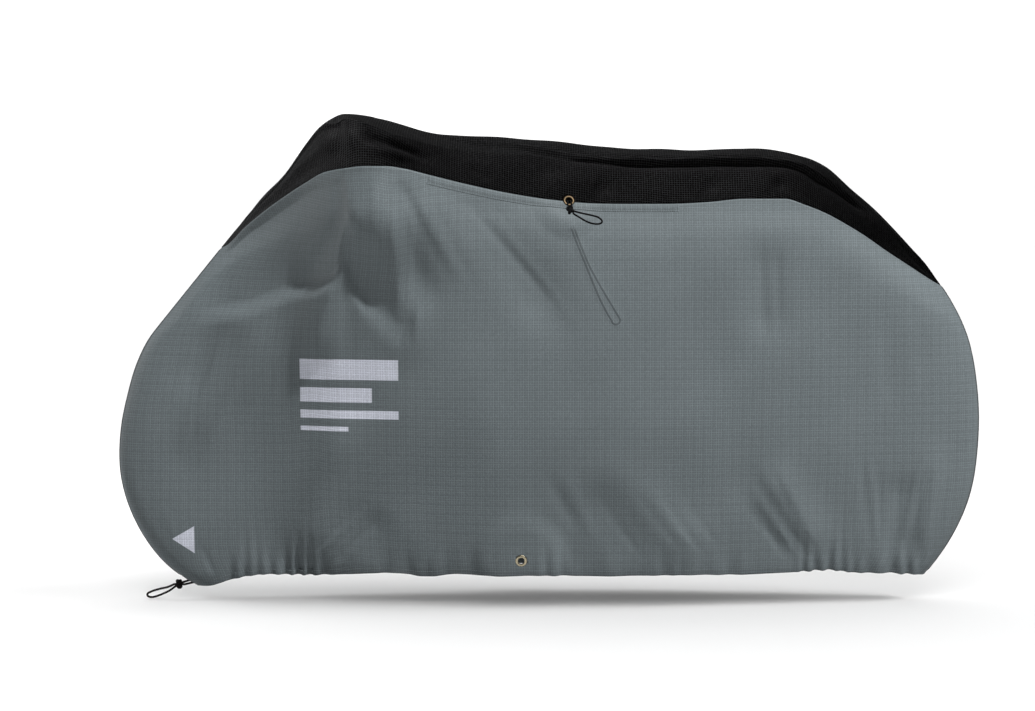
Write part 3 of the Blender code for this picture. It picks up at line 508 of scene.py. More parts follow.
@dataclass(frozen=True)
class CoverShape:
    """The draped surface: two sides and a gusset, as functions of two parameters.

    A side is spanned by s, from the front seam to the rear one, and t, from the top seam to
    the hem. The gusset is spanned by s and across, from the near seam (-1) to the far one.
    """

    cloth: float = 0.0012
    end_gap: float = 0.0006
    front: End = End((-0.727, 0.783), (-0.785, 0.030), (-0.564, 0.343), FRONT_ARC)
    rear: End = End((0.865, 0.700), (0.836, 0.055), (0.409, 0.398), REAR_ARC)
    span: float = 1.72
    nose_out: float = 0.020
    nose_length: float = 0.034
    nose_fade: float = 0.12
    nose_kept: float = 0.55
    mouth_out: float = 0.0062
    mouth_rows: tuple[float, float] = (0.945, 0.967)
    gather_from: float = 0.78
    ridge_at: float = 0.55       # share of the way across at which the ridge lies
    upper_out: tuple[float, float] = (0.55, 0.075)  # control point, from crest to ridge
    upper_fall: float = 0.145
    knee_out: tuple[float, float] = (1.02, 0.25)    # control point, from ridge to seam
    knee_fall: float = 0.18
    eyelet_up: float = 0.994
    eyelet_step: float = 0.02
    top_eyelet: tuple[float, float] = (0.0385, 0.8911)
    hem_eyelet: tuple[float, float] = (-0.0520, 0.1058)
    flat_top: tuple[float, float] = (0.038, 0.085)
    flat_hem: tuple[float, float] = (0.064, 0.115)

    @property
    def top_run(self) -> float:
        """Distance in x between the two tips."""
        return self.rear.tip[0] - self.front.tip[0]

    def s_of_x(self, x: Array) -> Array:
        """Column whose top end is at this x."""
        return (x - self.front.tip[0]) / self.top_run

    def top_at(self, s: Array) -> tuple[Array, ...]:
        """The top's measures at any columns.

        Args:
            s: Columns.

        Returns:
            x, crest height, and the ridge's and the seam's half-width and height.
        """
        x = self.front.tip[0] + s * self.top_run
        at = column(TOP, "x")
        rest = tuple(through(at, column(TOP, name), x) for name in Top._fields[1:])
        return (x, through(*line(CREST), x)) + rest

    def hem_at(self, s: Array) -> tuple[Array, Array]:
        """x and height of the hem at column s."""
        x = self.front.hem[0] + s * (self.rear.hem[0] - self.front.hem[0])
        return x, through(*line(HEM), x)

    def face(self, s: Array, t: Array) -> list[Array]:
        """The side's outline filled in as a Coons patch: the sum of the two rulings between its
        edges, less the plane through its corners.

        Args:
            s: Columns.
            t: Rows.

        Returns:
            The x array and the height array.
        """
        tops = self.top_at(s)
        found = []
        for axis, top, hem in zip((0, 1), (tops[0], tops[5]), self.hem_at(s)):
            total = (1 - t) * top + t * hem
            for end, share in ((self.front, 1 - s), (self.rear, s)):
                edge = np.interp(t, end.seam[0], end.seam[1][:, axis])
                total = total + share * (edge - (1 - t) * end.tip[axis] - t * end.hem[axis])
            found.append(total)
        return found

    def half_width(self, s: Array, t: Array) -> Array:
        """How far the side stands out before its folds: a monotone cubic down through its levels,
        and a quarter circle, sqrt(1 - (1 - u)^2), that rounds both end seams.

        Args:
            s: Columns.
            t: Rows.

        Returns:
            The half-width.
        """
        at = column(SIDE, "s")
        down = [through(at, column(SIDE, name), s) for name in Level._fields[1:]]
        width = through(np.array(DOWN), np.stack([self.top_at(s)[4]] + down), t, even=True)
        end = np.minimum(s, 1 - s)
        near = np.clip(end * self.span / self.nose_length, 0.0, 1.0)
        nose = self.nose_out * np.sqrt(1 - (1 - near) ** 2) * smoothstep(0.0, 0.16, t)
        return width + nose * (1 - self.nose_kept * smoothstep(0.0, self.nose_fade, end))

    def side_raw(self, s: Array, t: Array, side: Side) -> Array:
        """A side with its main folds, before the cloth is laid flat round the eyelets.

        Args:
            s: Columns.
            t: Rows.
            side: Which side.

        Returns:
            Points of the side.
        """
        s, t = np.broadcast_arrays(np.asarray(s, float), np.asarray(t, float))
        x, z = self.face(s, t)
        inside = smoothstep(0.0, 0.05, np.minimum(s, 1 - s))
        folds = creased(NEAR_FOLDS if side is Side.NEAR else FAR_FOLDS, x, z, 0.15, 0.25)
        out = self.half_width(s, t) + folds * inside * smoothstep(0.0, 0.06, t)
        out = out + rippled(GATHERS, s, t) * inside * smoothstep(self.gather_from, 1.0, t)
        mouth = (1 - smoothstep(0.0, 0.02, s)) * smoothstep(*self.mouth_rows, t)
        out = np.maximum(out, self.end_gap + self.mouth_out * mouth)
        return np.stack([x, side.value * out, z], -1)

    def gusset_raw(self, s: Array, across: Array) -> Array:
        """The gusset before the cloth is laid flat round its eyelet: two quadratic Bezier arcs,
        crest to ridge and ridge to seam, on one tangent.

        Args:
            s: Columns.
            across: From the near seam (-1) over the crest (0) to the far seam (+1).

        Returns:
            Points of the gusset.
        """
        s, across = np.broadcast_arrays(np.asarray(s, float), np.asarray(across, float))
        x, crest, ridge_out, ridge_height, seam_out, seam_height = self.top_at(s)
        part = np.abs(across)
        knee_out = ridge_out * self.knee_out[0] + self.knee_out[1] * (seam_out - ridge_out)
        knee_height = ridge_height - self.knee_fall * (ridge_height - seam_height)
        upper_out = ridge_out * self.upper_out[0]
        upper_out = upper_out + self.upper_out[1] * (knee_out - upper_out)
        upper_height = crest - self.upper_fall * (crest - ridge_height)

        def arc(a: Array, b: Array, c: Array, u: Array) -> Array:
            """a(1-u)^2 + 2bu(1-u) + cu^2."""
            u = np.clip(u, 0, 1)
            return a * (1 - u) ** 2 + 2 * b * u * (1 - u) + c * u * u

        first, second = part / self.ridge_at, (part - self.ridge_at) / (1 - self.ridge_at)
        out = np.where(second > 0, arc(ridge_out, knee_out, seam_out, second),
                       arc(0.0, upper_out, ridge_out, first))
        height = np.where(second > 0, arc(ridge_height, knee_height, seam_height, second),
                          arc(crest, upper_height, ridge_height, first))
        return np.stack([x, np.sign(across) * out, height], -1)

    def plane_at_top(self) -> tuple[Array, Array]:
        """The top eyelet's plane, on the near seam.

        Returns:
            Its centre and outward normal.
        """
        side, s, step = Side.NEAR, self.s_of_x(self.top_eyelet[0]), self.eyelet_step
        up = side.value * self.eyelet_up
        down = self.side_raw(s, 0.04, side) - self.gusset_raw(s, side.value * 0.80)
        along = self.gusset_raw(s + step, up) - self.gusset_raw(s - step, up)
        return self.gusset_raw(s, up), facing(down, along, side)

    def plane_at_hem(self, side: Side) -> tuple[Array, Array]:
        """One hem eyelet's plane.

        Args:
            side: Side that the eyelet is on.

        Returns:
            Its centre and outward normal.
        """
        span, step = self.rear.hem[0] - self.front.hem[0], self.eyelet_step
        s = (self.hem_eyelet[0] - self.front.hem[0]) / span
        points = self.side_raw(np.full(40, s), np.linspace(0.93, 1.0, 40), side)
        point = points[np.argmin(np.abs(points[:, 2] - self.hem_eyelet[1]))]
        down = self.side_raw(s, 1.0, side) - self.side_raw(s, 0.93, side)
        along = self.side_raw(s + step, 0.96, side) - self.side_raw(s - step, 0.96, side)
        return point, facing(down, along, side)

    @cached_property
    def eyelets(self) -> dict[str, tuple[Array, Array]]:
        """Centre and outward normal of every eyelet, by its node's name."""
        planes = {f"{side.title}_hem_eyelet": self.plane_at_hem(side) for side in Side}
        return {"top_eyelet": self.plane_at_top(), **planes}

    def from_eyelet(self, points: Array, eyelet: str) -> tuple[Array, Array]:
        """Where points lie from an eyelet.

        Args:
            points: The points.
            eyelet: Name of the eyelet.

        Returns:
            Their heights over its plane, and their distances from its axis.
        """
        centre, normal = self.eyelets[eyelet]
        height = (points - centre) @ normal
        return height, np.linalg.norm(points - centre - height[..., None] * normal, axis=-1)

    def flatten(self, points: Array, eyelet: str, radii: tuple[float, float], side: Side) -> Array:
        """Points moved into an eyelet's plane, all the way inside the first radius and not at
        all past the second.

        Args:
            points: Points of the cloth.
            eyelet: Name of the eyelet.
            radii: Where the flat ends and where the cloth is free.
            side: Side that the eyelet is on.

        Returns:
            The moved points.
        """
        height, distance = self.from_eyelet(points, eyelet)
        share = (1 - smoothstep(*radii, distance)) * (points[..., 1] * side.value > 0)
        return points - (share * height)[..., None] * self.eyelets[eyelet][1]

    def side(self, s: Array, t: Array, side: Side) -> Array:
        """A side as the CAD has it."""
        points = self.flatten(self.side_raw(s, t, side), "top_eyelet", self.flat_top, Side.NEAR)
        return self.flatten(points, f"{side.title}_hem_eyelet", self.flat_hem, side)

    def gusset(self, s: Array, across: Array) -> Array:
        """The gusset as the CAD has it."""
        return self.flatten(self.gusset_raw(s, across), "top_eyelet", self.flat_top, Side.NEAR)

    @cached_property
    def drop(self) -> Array:
        """How far the row frame's origin is above the ground: the crest's inner face."""
        crest = self.gusset(self.s_of_x(np.array(0.0)), np.array(0.0))
        return np.array([0.0, 0.0, float(crest[2]) - self.cloth / 2])

    def behind(self, x: float, z: float, clear: float) -> Array:
        """A point inside the near side, a little behind the cloth.

        Args:
            x: Its x.
            z: Its height.
            clear: How far behind the cloth it is.

        Returns:
            The point.
        """
        rows = np.linspace(0.0, 0.6, 400)
        s = np.full(400, self.s_of_x(x))
        for _ in range(4):
            points = self.side(s, rows, Side.NEAR)
            pick = int(np.argmin(np.abs(points[:, 2] - z)))
            s = s + (x - points[pick, 0]) / self.top_run
        return points[pick] + np.array([0.0, clear, 0.0])


SHAPE = CoverShape()


# ---- shader maths --------------------------------------------------------------------------
def operator(kind: str, swapped: bool = False) -> Callable:
    """A method that adds a Math node on a Wire and what it is combined with.

    Args:
        kind: The node's operation.
        swapped: Whether the Wire is the second of the two.

    Returns:
        The method.
    """
    def apply(wire: "Wire", *other: Number) -> "Wire":
        """The node's output."""
        return wire.graph.math(kind, *((*other, wire) if swapped else (wire, *other)))

    return apply


class Wire:
    """An output socket with arithmetic on it: each operator adds one Math node."""

    def __init__(self, graph: "Graph", socket: bpy.types.NodeSocket) -> None:
        """Keeps the socket and the graph that it belongs to."""
        self.graph = graph
        self.socket = socket

    __add__ = __radd__ = operator("ADD")
    __sub__ = operator("SUBTRACT")
    __rsub__ = operator("SUBTRACT", swapped=True)
    __mul__ = __rmul__ = operator("MULTIPLY")
    __truediv__ = operator("DIVIDE")
    __abs__ = operator("ABSOLUTE")


class Graph:
    """The node tree of a material or a world, with one method for any node."""

    def __init__(self, owner: Union[bpy.types.Material, bpy.types.World]) -> None:
        """Clears the owner's node tree.

        Args:
            owner: The material or world.
        """
        self.owner = owner
        owner.use_nodes = True
        self.tree = owner.node_tree
        self.tree.nodes.clear()

    @classmethod
    def material(cls, name: str) -> "Graph":
        """The empty graph of a new material."""
        return cls(bpy.data.materials.new(name))

    def node(self, kind: str, sockets: Optional[dict] = None, output: Union[int, str] = 0,
             **settings: object) -> Optional[Wire]:
        """Adds a node: its settings first, then the values or links of its sockets.

        Args:
            kind: The node's type, without the prefix that all of them share.
            sockets: Input names or numbers, and a value or a Wire for each.
            output: The output to give back.
            settings: The node's own properties.

        Returns:
            The output, or None from a node that has none.
        """
        made = self.tree.nodes.new(f"ShaderNode{kind}")
        for name, value in settings.items():
            setattr(made, name, value)
        for name, value in (sockets or {}).items():
            if isinstance(value, Wire):
                self.tree.links.new(value.socket, made.inputs[name])
            else:
                made.inputs[name].default_value = value
        return Wire(self, made.outputs[output]) if len(made.outputs) else None

    def math(self, operation: str, *values: Number) -> Wire:
        """A Math node on one to three values."""
        return self.node("Math", dict(enumerate(values)), operation=operation)

    def smooth(self, value: Wire, low: float, high: float) -> Wire:
        """A smooth step of the value, from 0 at low to 1 at high."""
        sockets = {"Value": value, "From Min": low, "From Max": high}
        return self.node("MapRange", sockets, interpolation_type="SMOOTHSTEP")

    def mix(self, share: Number, first: Colour, second: Colour) -> Wire:
        """A colour between two others."""
        return self.node("Mix", {0: share, 6: (*first, 1.0), 7: (*second, 1.0)}, 2, data_type="RGBA")

    def scaled(self, colour: Union[Colour, Wire], factor: Wire) -> Wire:
        """A colour times a number."""
        return self.node("VectorMath", {0: colour, "Scale": factor}, operation="SCALE")

    def split(self, output: str) -> tuple[Wire, ...]:
        """The three parts of the UV map or of the place on the object, in metres."""
        parts = self.node("SeparateXYZ", {0: self.node("TexCoord", output=output)})
        return tuple(Wire(self, socket) for socket in parts.socket.node.outputs)

    def above_ground(self) -> tuple[Wire, Wire]:
        """x, and the height above the ground."""
        x, _, z = self.split("Object")
        return x, z + float(SHAPE.drop[2])

    def attribute(self, name: str) -> Wire:
        """A number kept on the mesh."""
        return self.node("Attribute", output="Fac", attribute_name=name)

    def noise(self, scale: float, detail: float = 3.0) -> Wire:
        """Noise over the object, about 0 to 1."""
        place = self.node("TexCoord", output="Object")
        return self.node("TexNoise", {"Vector": place, "Scale": scale, "Detail": detail})

    def finish(self, colour: Union[Colour, Wire], roughness: Number, height: Optional[Wire] = None,
               depth: float = 0.001, **constants: float) -> bpy.types.Material:
        """Ends the material with one Principled shader.

        Args:
            colour: Base colour, fixed or linked.
            roughness: Roughness, fixed or linked.
            height: Height of the surface's relief, from 0 to 1.
            depth: Metres that a height of 1 stands for.
            constants: Other sockets, with spaces as underscores, set to fixed values.

        Returns:
            The material.
        """
        base = colour if isinstance(colour, Wire) else (*colour, 1.0)
        sockets = {"Base Color": base, "Roughness": roughness}
        sockets.update({name.replace("_", " "): value for name, value in constants.items()})
        if height is not None:
            sockets["Normal"] = self.node("Bump", {"Distance": depth, "Height": height})
        self.node("OutputMaterial", {"Surface": self.node("BsdfPrincipled", sockets)})
        return self.owner


@dataclass(frozen=True)
class PlainPrint:
    """The plain print, in metres above the ground: an arrow head, and bars in place of words."""

    ink: Colour = (0.40, 0.415, 0.47)
    edge: float = 0.0006
    bars: tuple = (
        (-0.546, -0.330, 0.504, 0.549), (-0.546, -0.388, 0.454, 0.486),
        (-0.546, -0.330, 0.418, 0.436), (-0.546, -0.440, 0.390, 0.400),
    )
    arrow: tuple = ((-0.8382, 0.1387), (-0.7883, 0.1684), (-0.7888, 0.1070))

    def mask(self, graph: Graph) -> Wire:
        """1 on the ink and 0 on the bare cloth.

        Args:
            graph: The material's graph.

        Returns:
            The mask.
        """
        def within(*gaps: Wire) -> Wire:
            """1 where all the distances past the edges are positive."""
            steps = [graph.smooth(gap, -self.edge, self.edge) for gap in gaps]
            return math.prod(steps[1:], start=steps[0])

        x, height = graph.above_ground()
        (tip_x, tip_z), (base_x, top_z), (_, low_z) = self.arrow
        share = (x - tip_x) / (base_x - tip_x)
        found = within(base_x - x, share * (top_z - tip_z) + tip_z - height,
                       height - share * (low_z - tip_z) - tip_z)
        for x0, x1, z0, z1 in self.bars:
            bar = within(x - x0, x1 - x, height - z0, z1 - height)
            found = graph.math("MAXIMUM", found, bar)
        return found


@dataclass(frozen=True)
class PressedLoop:
    """The mark of the inner loop's two strands where they press on the cloth.

    With w the depth below its top, its middle is x0 + lean w + curve w^2, its strands lie half
    a gap to each side of that, and a circle closes them at the bottom.
    """

    top: float = 0.839
    x0: float = 0.0465
    lean: float = 0.34
    curve: float = 0.62
    slant: float = 0.9           # across the strands for each metre of x
    half_gap: float = 0.0028
    wider: float = 0.0062        # added to half the gap on the way down
    widens: tuple[float, float] = (0.07, 0.19)
    deep: float = 0.203
    end_x: float = 0.1411
    end_radius: float = 0.009
    strand: tuple[float, float] = (0.0010, 0.0030)

    def mask(self, graph: Graph) -> Wire:
        """1 on a strand and 0 beside it.

        Args:
            graph: The material's graph.

        Returns:
            The mask.
        """
        x, height = graph.above_ground()
        depth = self.top - height
        middle = depth * depth * self.curve + depth * self.lean + self.x0
        gap = graph.smooth(depth, *self.widens) * self.wider + self.half_gap
        beside = abs(abs((x - middle) * self.slant) - gap)
        dx, dz = x - self.end_x, height - (self.top - self.deep)
        round_end = abs(graph.math("POWER", dx * dx + dz * dz, 0.5) - self.end_radius)
        past = graph.smooth(depth, self.deep - 0.001, self.deep + 0.001)
        nearest = beside * (1.0 - past) + round_end * past
        inside = graph.smooth(depth, -0.004, 0.012) * (
            1.0 - graph.smooth(depth, self.deep + 0.011, self.deep + 0.013))
        return (1.0 - graph.smooth(nearest, *self.strand)) * inside


@dataclass(frozen=True)
class Ripstop:
    """Ripstop cloth: a fine weave with thicker threads on a square grid.

    The distance to the nearest line of a grid on the UV map is |fract(u / pitch) - 0.5| * pitch,
    and a thread is a smooth step of it. The plain weave is the product of two sines.
    """

    name: str
    colour: Colour
    printed: Optional[PlainPrint] = None    # the side with it has the inner loop's mark too
    pitch: float = 0.0216
    share: int = 4              # fine lines in one square
    thread: float = 0.0028      # half-width of a pair of thick threads
    split: float = 0.45         # share of it that the groove between the two takes
    hair: float = 0.0011        # half-width of a fine line
    twist: float = 2900.0       # radians of the plain weave for each metre
    lift: float = 0.05          # how much lighter a pair of thick threads is, a painted highlight on their tops
    groove: float = 0.27        # how much darker the groove between the pair is, painted shade in it
    fine: float = 0.40          # how much lighter a fine line is
    mottle: float = 0.10        # how much lighter and darker its patches are
    weave: float = 0.08         # how much lighter and darker single threads are
    stain: float = 0.34         # how much darker the inner loop's mark is
    roughness: float = 0.62
    gloss: float = 0.12

    def lines(self, graph: Graph, places: Sequence[Wire], pitch: float, wide: float) -> Wire:
        """Lines of one pitch in both directions.

        Args:
            graph: The material's graph.
            places: Metres along the cloth, in its two directions.
            pitch: Metres between the lines.
            wide: Half-width of a line in metres.

        Returns:
            1 in the middle of each line, 0 past its half-width.
        """
        gaps = [abs(graph.math("FRACT", place / pitch) - 0.5) * pitch for place in places]
        return graph.math("MAXIMUM", *(1.0 - graph.smooth(gap, 0.0, wide) for gap in gaps))

    def material(self) -> bpy.types.Material:
        """The cloth's material, darker by the mesh's own number called shade.

        Returns:
            The material.
        """
        graph = Graph.material(self.name)
        u, v, _ = graph.split("UV")
        raised = self.lines(graph, (u, v), self.pitch, self.thread)
        sunk = self.lines(graph, (u, v), self.pitch, self.thread * self.split)
        between = [way + self.pitch / 8 for way in (u, v)]
        thin = self.lines(graph, between, self.pitch / self.share, self.hair)
        weave = graph.math("SINE", u * self.twist) * graph.math("SINE", v * self.twist)
        patches = graph.noise(5.0) - 0.5
        grain = graph.noise(260.0, 2.0) - 0.5
        # The thick threads' lift is a painted highlight, and the groove's darkening is painted shade.
        shade = (
            1.0 + raised * self.lift - sunk * (self.groove + self.lift)
            + thin * (grain * 1.6 + 1.0) * self.fine - self.fine * 0.3
            + weave * self.weave + patches * self.mottle + grain * self.weave * 2
        )
        shade = shade * (1.0 - graph.attribute("shade"))
        base = self.colour
        # Each layer of the relief, as a share of its depth.
        height = raised * 0.7 - sunk * 0.8 + thin * 0.25 + weave * 0.12 + grain * 0.1
        if self.printed is not None:
            strands = PressedLoop().mask(graph)
            shade = shade * (1.0 - strands * self.stain)
            height = height + strands * 1.5
            base = graph.mix(self.printed.mask(graph), base, self.printed.ink)
        rough = self.roughness + patches * 0.12 - raised * 0.05
        return graph.finish(graph.scaled(base, shade), rough, height, 0.00035,
                            Specular_IOR_Level=self.gloss)


@dataclass(frozen=True)
class Brass:
    """Antique brass: worn bright on its crown, dark in its corners."""

    name: str
    bright: Colour
    dark: Colour
    roughness: float

    def material(self) -> bpy.types.Material:
        """The metal's material, worn by the mesh's own number called crown.

        Returns:
            The material.
        """
        graph = Graph.material(self.name)
        worn = graph.smooth(graph.noise(420.0, 4.0) + graph.attribute("crown") * 0.5, 0.42, 0.85)
        colour = graph.mix(worn, self.dark, self.bright)
        return graph.finish(colour, self.roughness - worn * 0.1, graph.noise(900.0), 0.0001,
                            Metallic=1.0)


@dataclass(frozen=True)
class Braid:
    """Braided cord: two sets of strands that cross, sin(a + b) * sin(a - b) on the UV map."""

    name: str
    colour: Colour
    light: Colour
    strands: int = 8
    pitch: float = 0.0075

    def material(self) -> bpy.types.Material:
        """The cord's material.

        Returns:
            The material.
        """
        graph = Graph.material(self.name)
        u, v, _ = graph.split("UV")
        round_way = u * (math.pi * self.strands)
        along = v * (math.pi * self.strands / self.pitch)
        cross = graph.math("SINE", round_way + along) * graph.math("SINE", round_way - along)
        strand = graph.smooth(abs(cross), 0.0, 0.7)
        fuzz = graph.noise(1500.0, 2.0)
        colour = graph.mix(strand * 0.6 + fuzz * 0.4, self.colour, self.light)
        return graph.finish(colour, 0.6, strand + fuzz * 0.3, 0.00035, Specular_IOR_Level=0.08)


@dataclass(frozen=True)
class Thread:
    """Sewing thread and folded tape, of one colour with a fine twist."""

    name: str
    colour: Colour

    def material(self) -> bpy.types.Material:
        """The thread's material.

        Returns:
            The material.
        """
        graph = Graph.material(self.name)
        twist = graph.noise(1200.0, 2.0)
        colour = graph.scaled(self.colour, 0.8 + twist * 0.4)
        return graph.finish(colour, 0.7, twist, 0.0002, Specular_IOR_Level=0.3)


# ---- meshes --------------------------------------------------------------------------------
def mesh_object(name: str, points: Array, faces: Array, material: bpy.types.Material,
                uv: Optional[Array] = None, numbers: Optional[dict[str, Array]] = None,
                ) -> bpy.types.Object:
    """A smooth-shaded mesh at the origin, moved down from the ground frame to the row frame.

    Args:
        name: Name of the piece.
        points: Vertices in the ground frame, with x, y and z along the last axis.
        faces: Corners of the quads, as m by 4.
        material: Its material.
        uv: UV of each vertex.
        numbers: Values to keep on the vertices, by name.

    Returns:
        The new object.
    """
    mesh = bpy.data.meshes.new(name)
    used, corners = np.unique(faces.ravel(), return_inverse=True)
    corners = corners.reshape(-1).astype(np.int32)
    placed = points.reshape(-1, 3)[used] - SHAPE.drop
    mesh.vertices.add(len(used))
    mesh.vertices.foreach_set("co", placed.astype(np.float32).ravel())
    mesh.loops.add(len(corners))
    mesh.loops.foreach_set("vertex_index", corners)
    mesh.polygons.add(len(faces))
    mesh.polygons.foreach_set("loop_start", np.arange(0, len(corners), 4, dtype=np.int32))
    mesh.polygons.foreach_set("use_smooth", np.ones(len(faces), bool))
    if uv is not None:
        layer = mesh.uv_layers.new(name="UVMap")
        layer.data.foreach_set("uv", uv.reshape(-1, 2)[used][corners].astype(np.float32).ravel())
    for title, values in (numbers or {}).items():
        kept = mesh.attributes.new(title, "FLOAT", "POINT")
        kept.data.foreach_set("value", np.asarray(values, np.float32).ravel()[used])
    mesh.update(calc_edges=True)
    mesh.validate()
    mesh.materials.append(material)
    log.info("%s: %d quads", name, len(faces))
    return linked(name, mesh)


def linked(name: str, data: bpy.types.ID, way: Optional[Sequence[float]] = None,
           ) -> bpy.types.Object:
    """A new object in the scene.

    Args:
        name: Its name.
        data: Its mesh, light or camera.
        way: Where its -Z is turned to, if anywhere.

    Returns:
        The object.
    """
    thing = bpy.data.objects.new(name, data)
    if way is not None:
        thing.rotation_euler = Vector(way).to_track_quat("-Z", "Y").to_euler()
    bpy.context.scene.collection.objects.link(thing)
    return thing


def declared(piece: bpy.types.Object, slot: str, *nodes: str) -> bpy.types.Object:
    """Hides the CAD nodes that a piece replaces, and makes it ride on the root.

    Args:
        piece: The piece.
        slot: Not used.
        nodes: The CAD nodes that it replaces.

    Returns:
        The piece.
    """
    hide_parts(*nodes)
    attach(piece, "root")
    return piece


def grid_faces(rows: int, columns: int, keep: Optional[Array] = None, close: bool = False,
               wrap: bool = False) -> Array:
    """Quads of a grid of points.

    Args:
        rows: Rows of points.
        columns: Columns of points.
        keep: Which cells to keep, or all of them.
        close: Whether the last row joins the first.
        wrap: Whether the last column joins the first.

    Returns:
        Corners of the quads.
    """
    index = np.arange(rows * columns).reshape(rows, columns)
    index = np.pad(index, ((0, int(close)), (0, int(wrap))), "wrap")
    faces = np.stack([index[:-1, :-1], index[1:, :-1], index[1:, 1:], index[:-1, 1:]], -1)
    return faces[keep] if keep is not None else faces.reshape(-1, 4)


def turned_out(points: Array, faces: Array, outward: Array, about: bool = False) -> Array:
    """The faces, turned round if most of them face the wrong way.

    Args:
        points: Their points.
        faces: Corners of the quads.
        outward: The right way, for all or for each.
        about: Whether outward is instead a point behind each, that it has to face away from.

    Returns:
        The faces.
    """
    flat = points.reshape(-1, 3)
    a, b, d = (flat[faces[:, k]] for k in (0, 1, 3))
    way = a - outward if about else outward
    return faces[:, ::-1] if np.median(np.sum(np.cross(b - a, d - a) * way, axis=-1)) < 0 else faces


def signed_run(points: Array, axis: int, lead: int, parts: slice) -> Array:
    """Distance along the lines of a grid, counted back where the leading coordinate falls.

    Args:
        points: The grid.
        axis: Axis of the grid that the lines run along.
        lead: Coordinate that gives the sign.
        parts: Coordinates that the distance is measured in.

    Returns:
        The distances from each line's first point.
    """
    steps = np.diff(points, axis=axis)
    length = np.sign(steps[..., lead]) * np.linalg.norm(steps[..., parts], axis=-1)
    total = np.cumsum(length, axis=axis)
    return np.concatenate([np.zeros_like(np.take(total, [0], axis)), total], axis)


def tube_mesh(name: str, path: Array, radius: float, material: bpy.types.Material,
              around: int = 18, closed: bool = False) -> bpy.types.Object:
    """A round tube: circles in the planes across the path, with its ends drawn to points.

    Args:
        name: Name of the piece.
        path: Points of the centreline, in the ground frame.
        radius: Its radius.
        material: Its material.
        around: Sides of the tube.
        closed: Whether the path is a ring.

    Returns:
        The new object.
    """
    wide = np.full(len(path), radius)
    if closed:
        tangent = unit(np.roll(path, -1, 0) - np.roll(path, 1, 0))
    else:
        # Both ends are rounded: circles that shrink to a point over half a radius.
        turn = np.linspace(0.0, math.pi / 2, 5)
        reach = np.cos(turn)[:-1, None] * radius * 0.5
        low = np.maximum(np.sin(turn), 0.02)[:-1] * radius
        first = path[0] + reach * unit(path[0] - path[1])
        last = path[-1] + reach[::-1] * unit(path[-1] - path[-2])
        path = np.concatenate([first, path, last])
        wide = np.concatenate([low, wide, low[::-1]])
        tangent = unit(np.gradient(path, axis=0))
    side = transported(tangent, closed)
    up = np.cross(tangent, side)
    turn = np.linspace(0.0, 2 * math.pi, around + 1)
    ring = np.cos(turn)[None, :, None] * side[:, None] + np.sin(turn)[None, :, None] * up[:, None]
    points = path[:, None] + wide[:, None, None] * ring
    uv = np.stack(np.broadcast_arrays(turn[None] / (2 * math.pi), run_of(path)[:, None]), -1)
    faces = grid_faces(*points.shape[:2], close=closed)
    faces = turned_out(points, faces, ring.reshape(-1, 3)[faces[:, 0]])
    return mesh_object(name, points, faces, material, uv)


def transported(tangent: Array, closed: bool) -> Array:
    """A direction across the path at each point, carried along it with as little turn as it
    can have: each step takes out its part along the new tangent.

    Args:
        tangent: Unit tangents of the path.
        closed: Whether the path is a ring, where the leftover turn is shared out.

    Returns:
        Unit vectors across the path.
    """
    start = np.cross(tangent[0], (0.0, 0.0, 1.0) if abs(tangent[0][2]) < 0.9 else (1.0, 0.0, 0.0))
    sides = [unit(start)]
    for way in tangent[1:]:
        sides.append(unit(sides[-1] - way * (sides[-1] @ way)))
    found = np.array(sides)
    if closed:
        last = found[-1] - tangent[0] * (found[-1] @ tangent[0])
        left = math.atan2(np.cross(last, found[0]) @ tangent[0], last @ found[0])
        angle = np.linspace(0.0, left, len(found))[:, None]
        found = found * np.cos(angle) + np.cross(tangent, found) * np.sin(angle)
    return found


def body_frame(normal: Array) -> tuple[Array, Array, Array]:
    """The directions at an eyelet.

    Args:
        normal: Its plane's normal.

    Returns:
        Along the seam, down the cloth, and the normal.
    """
    down = unit(np.array([0.0, 0.0, -1.0]) + normal[2] * normal)
    along = np.cross(normal, down)
    return along * np.sign(along[0]), down, normal


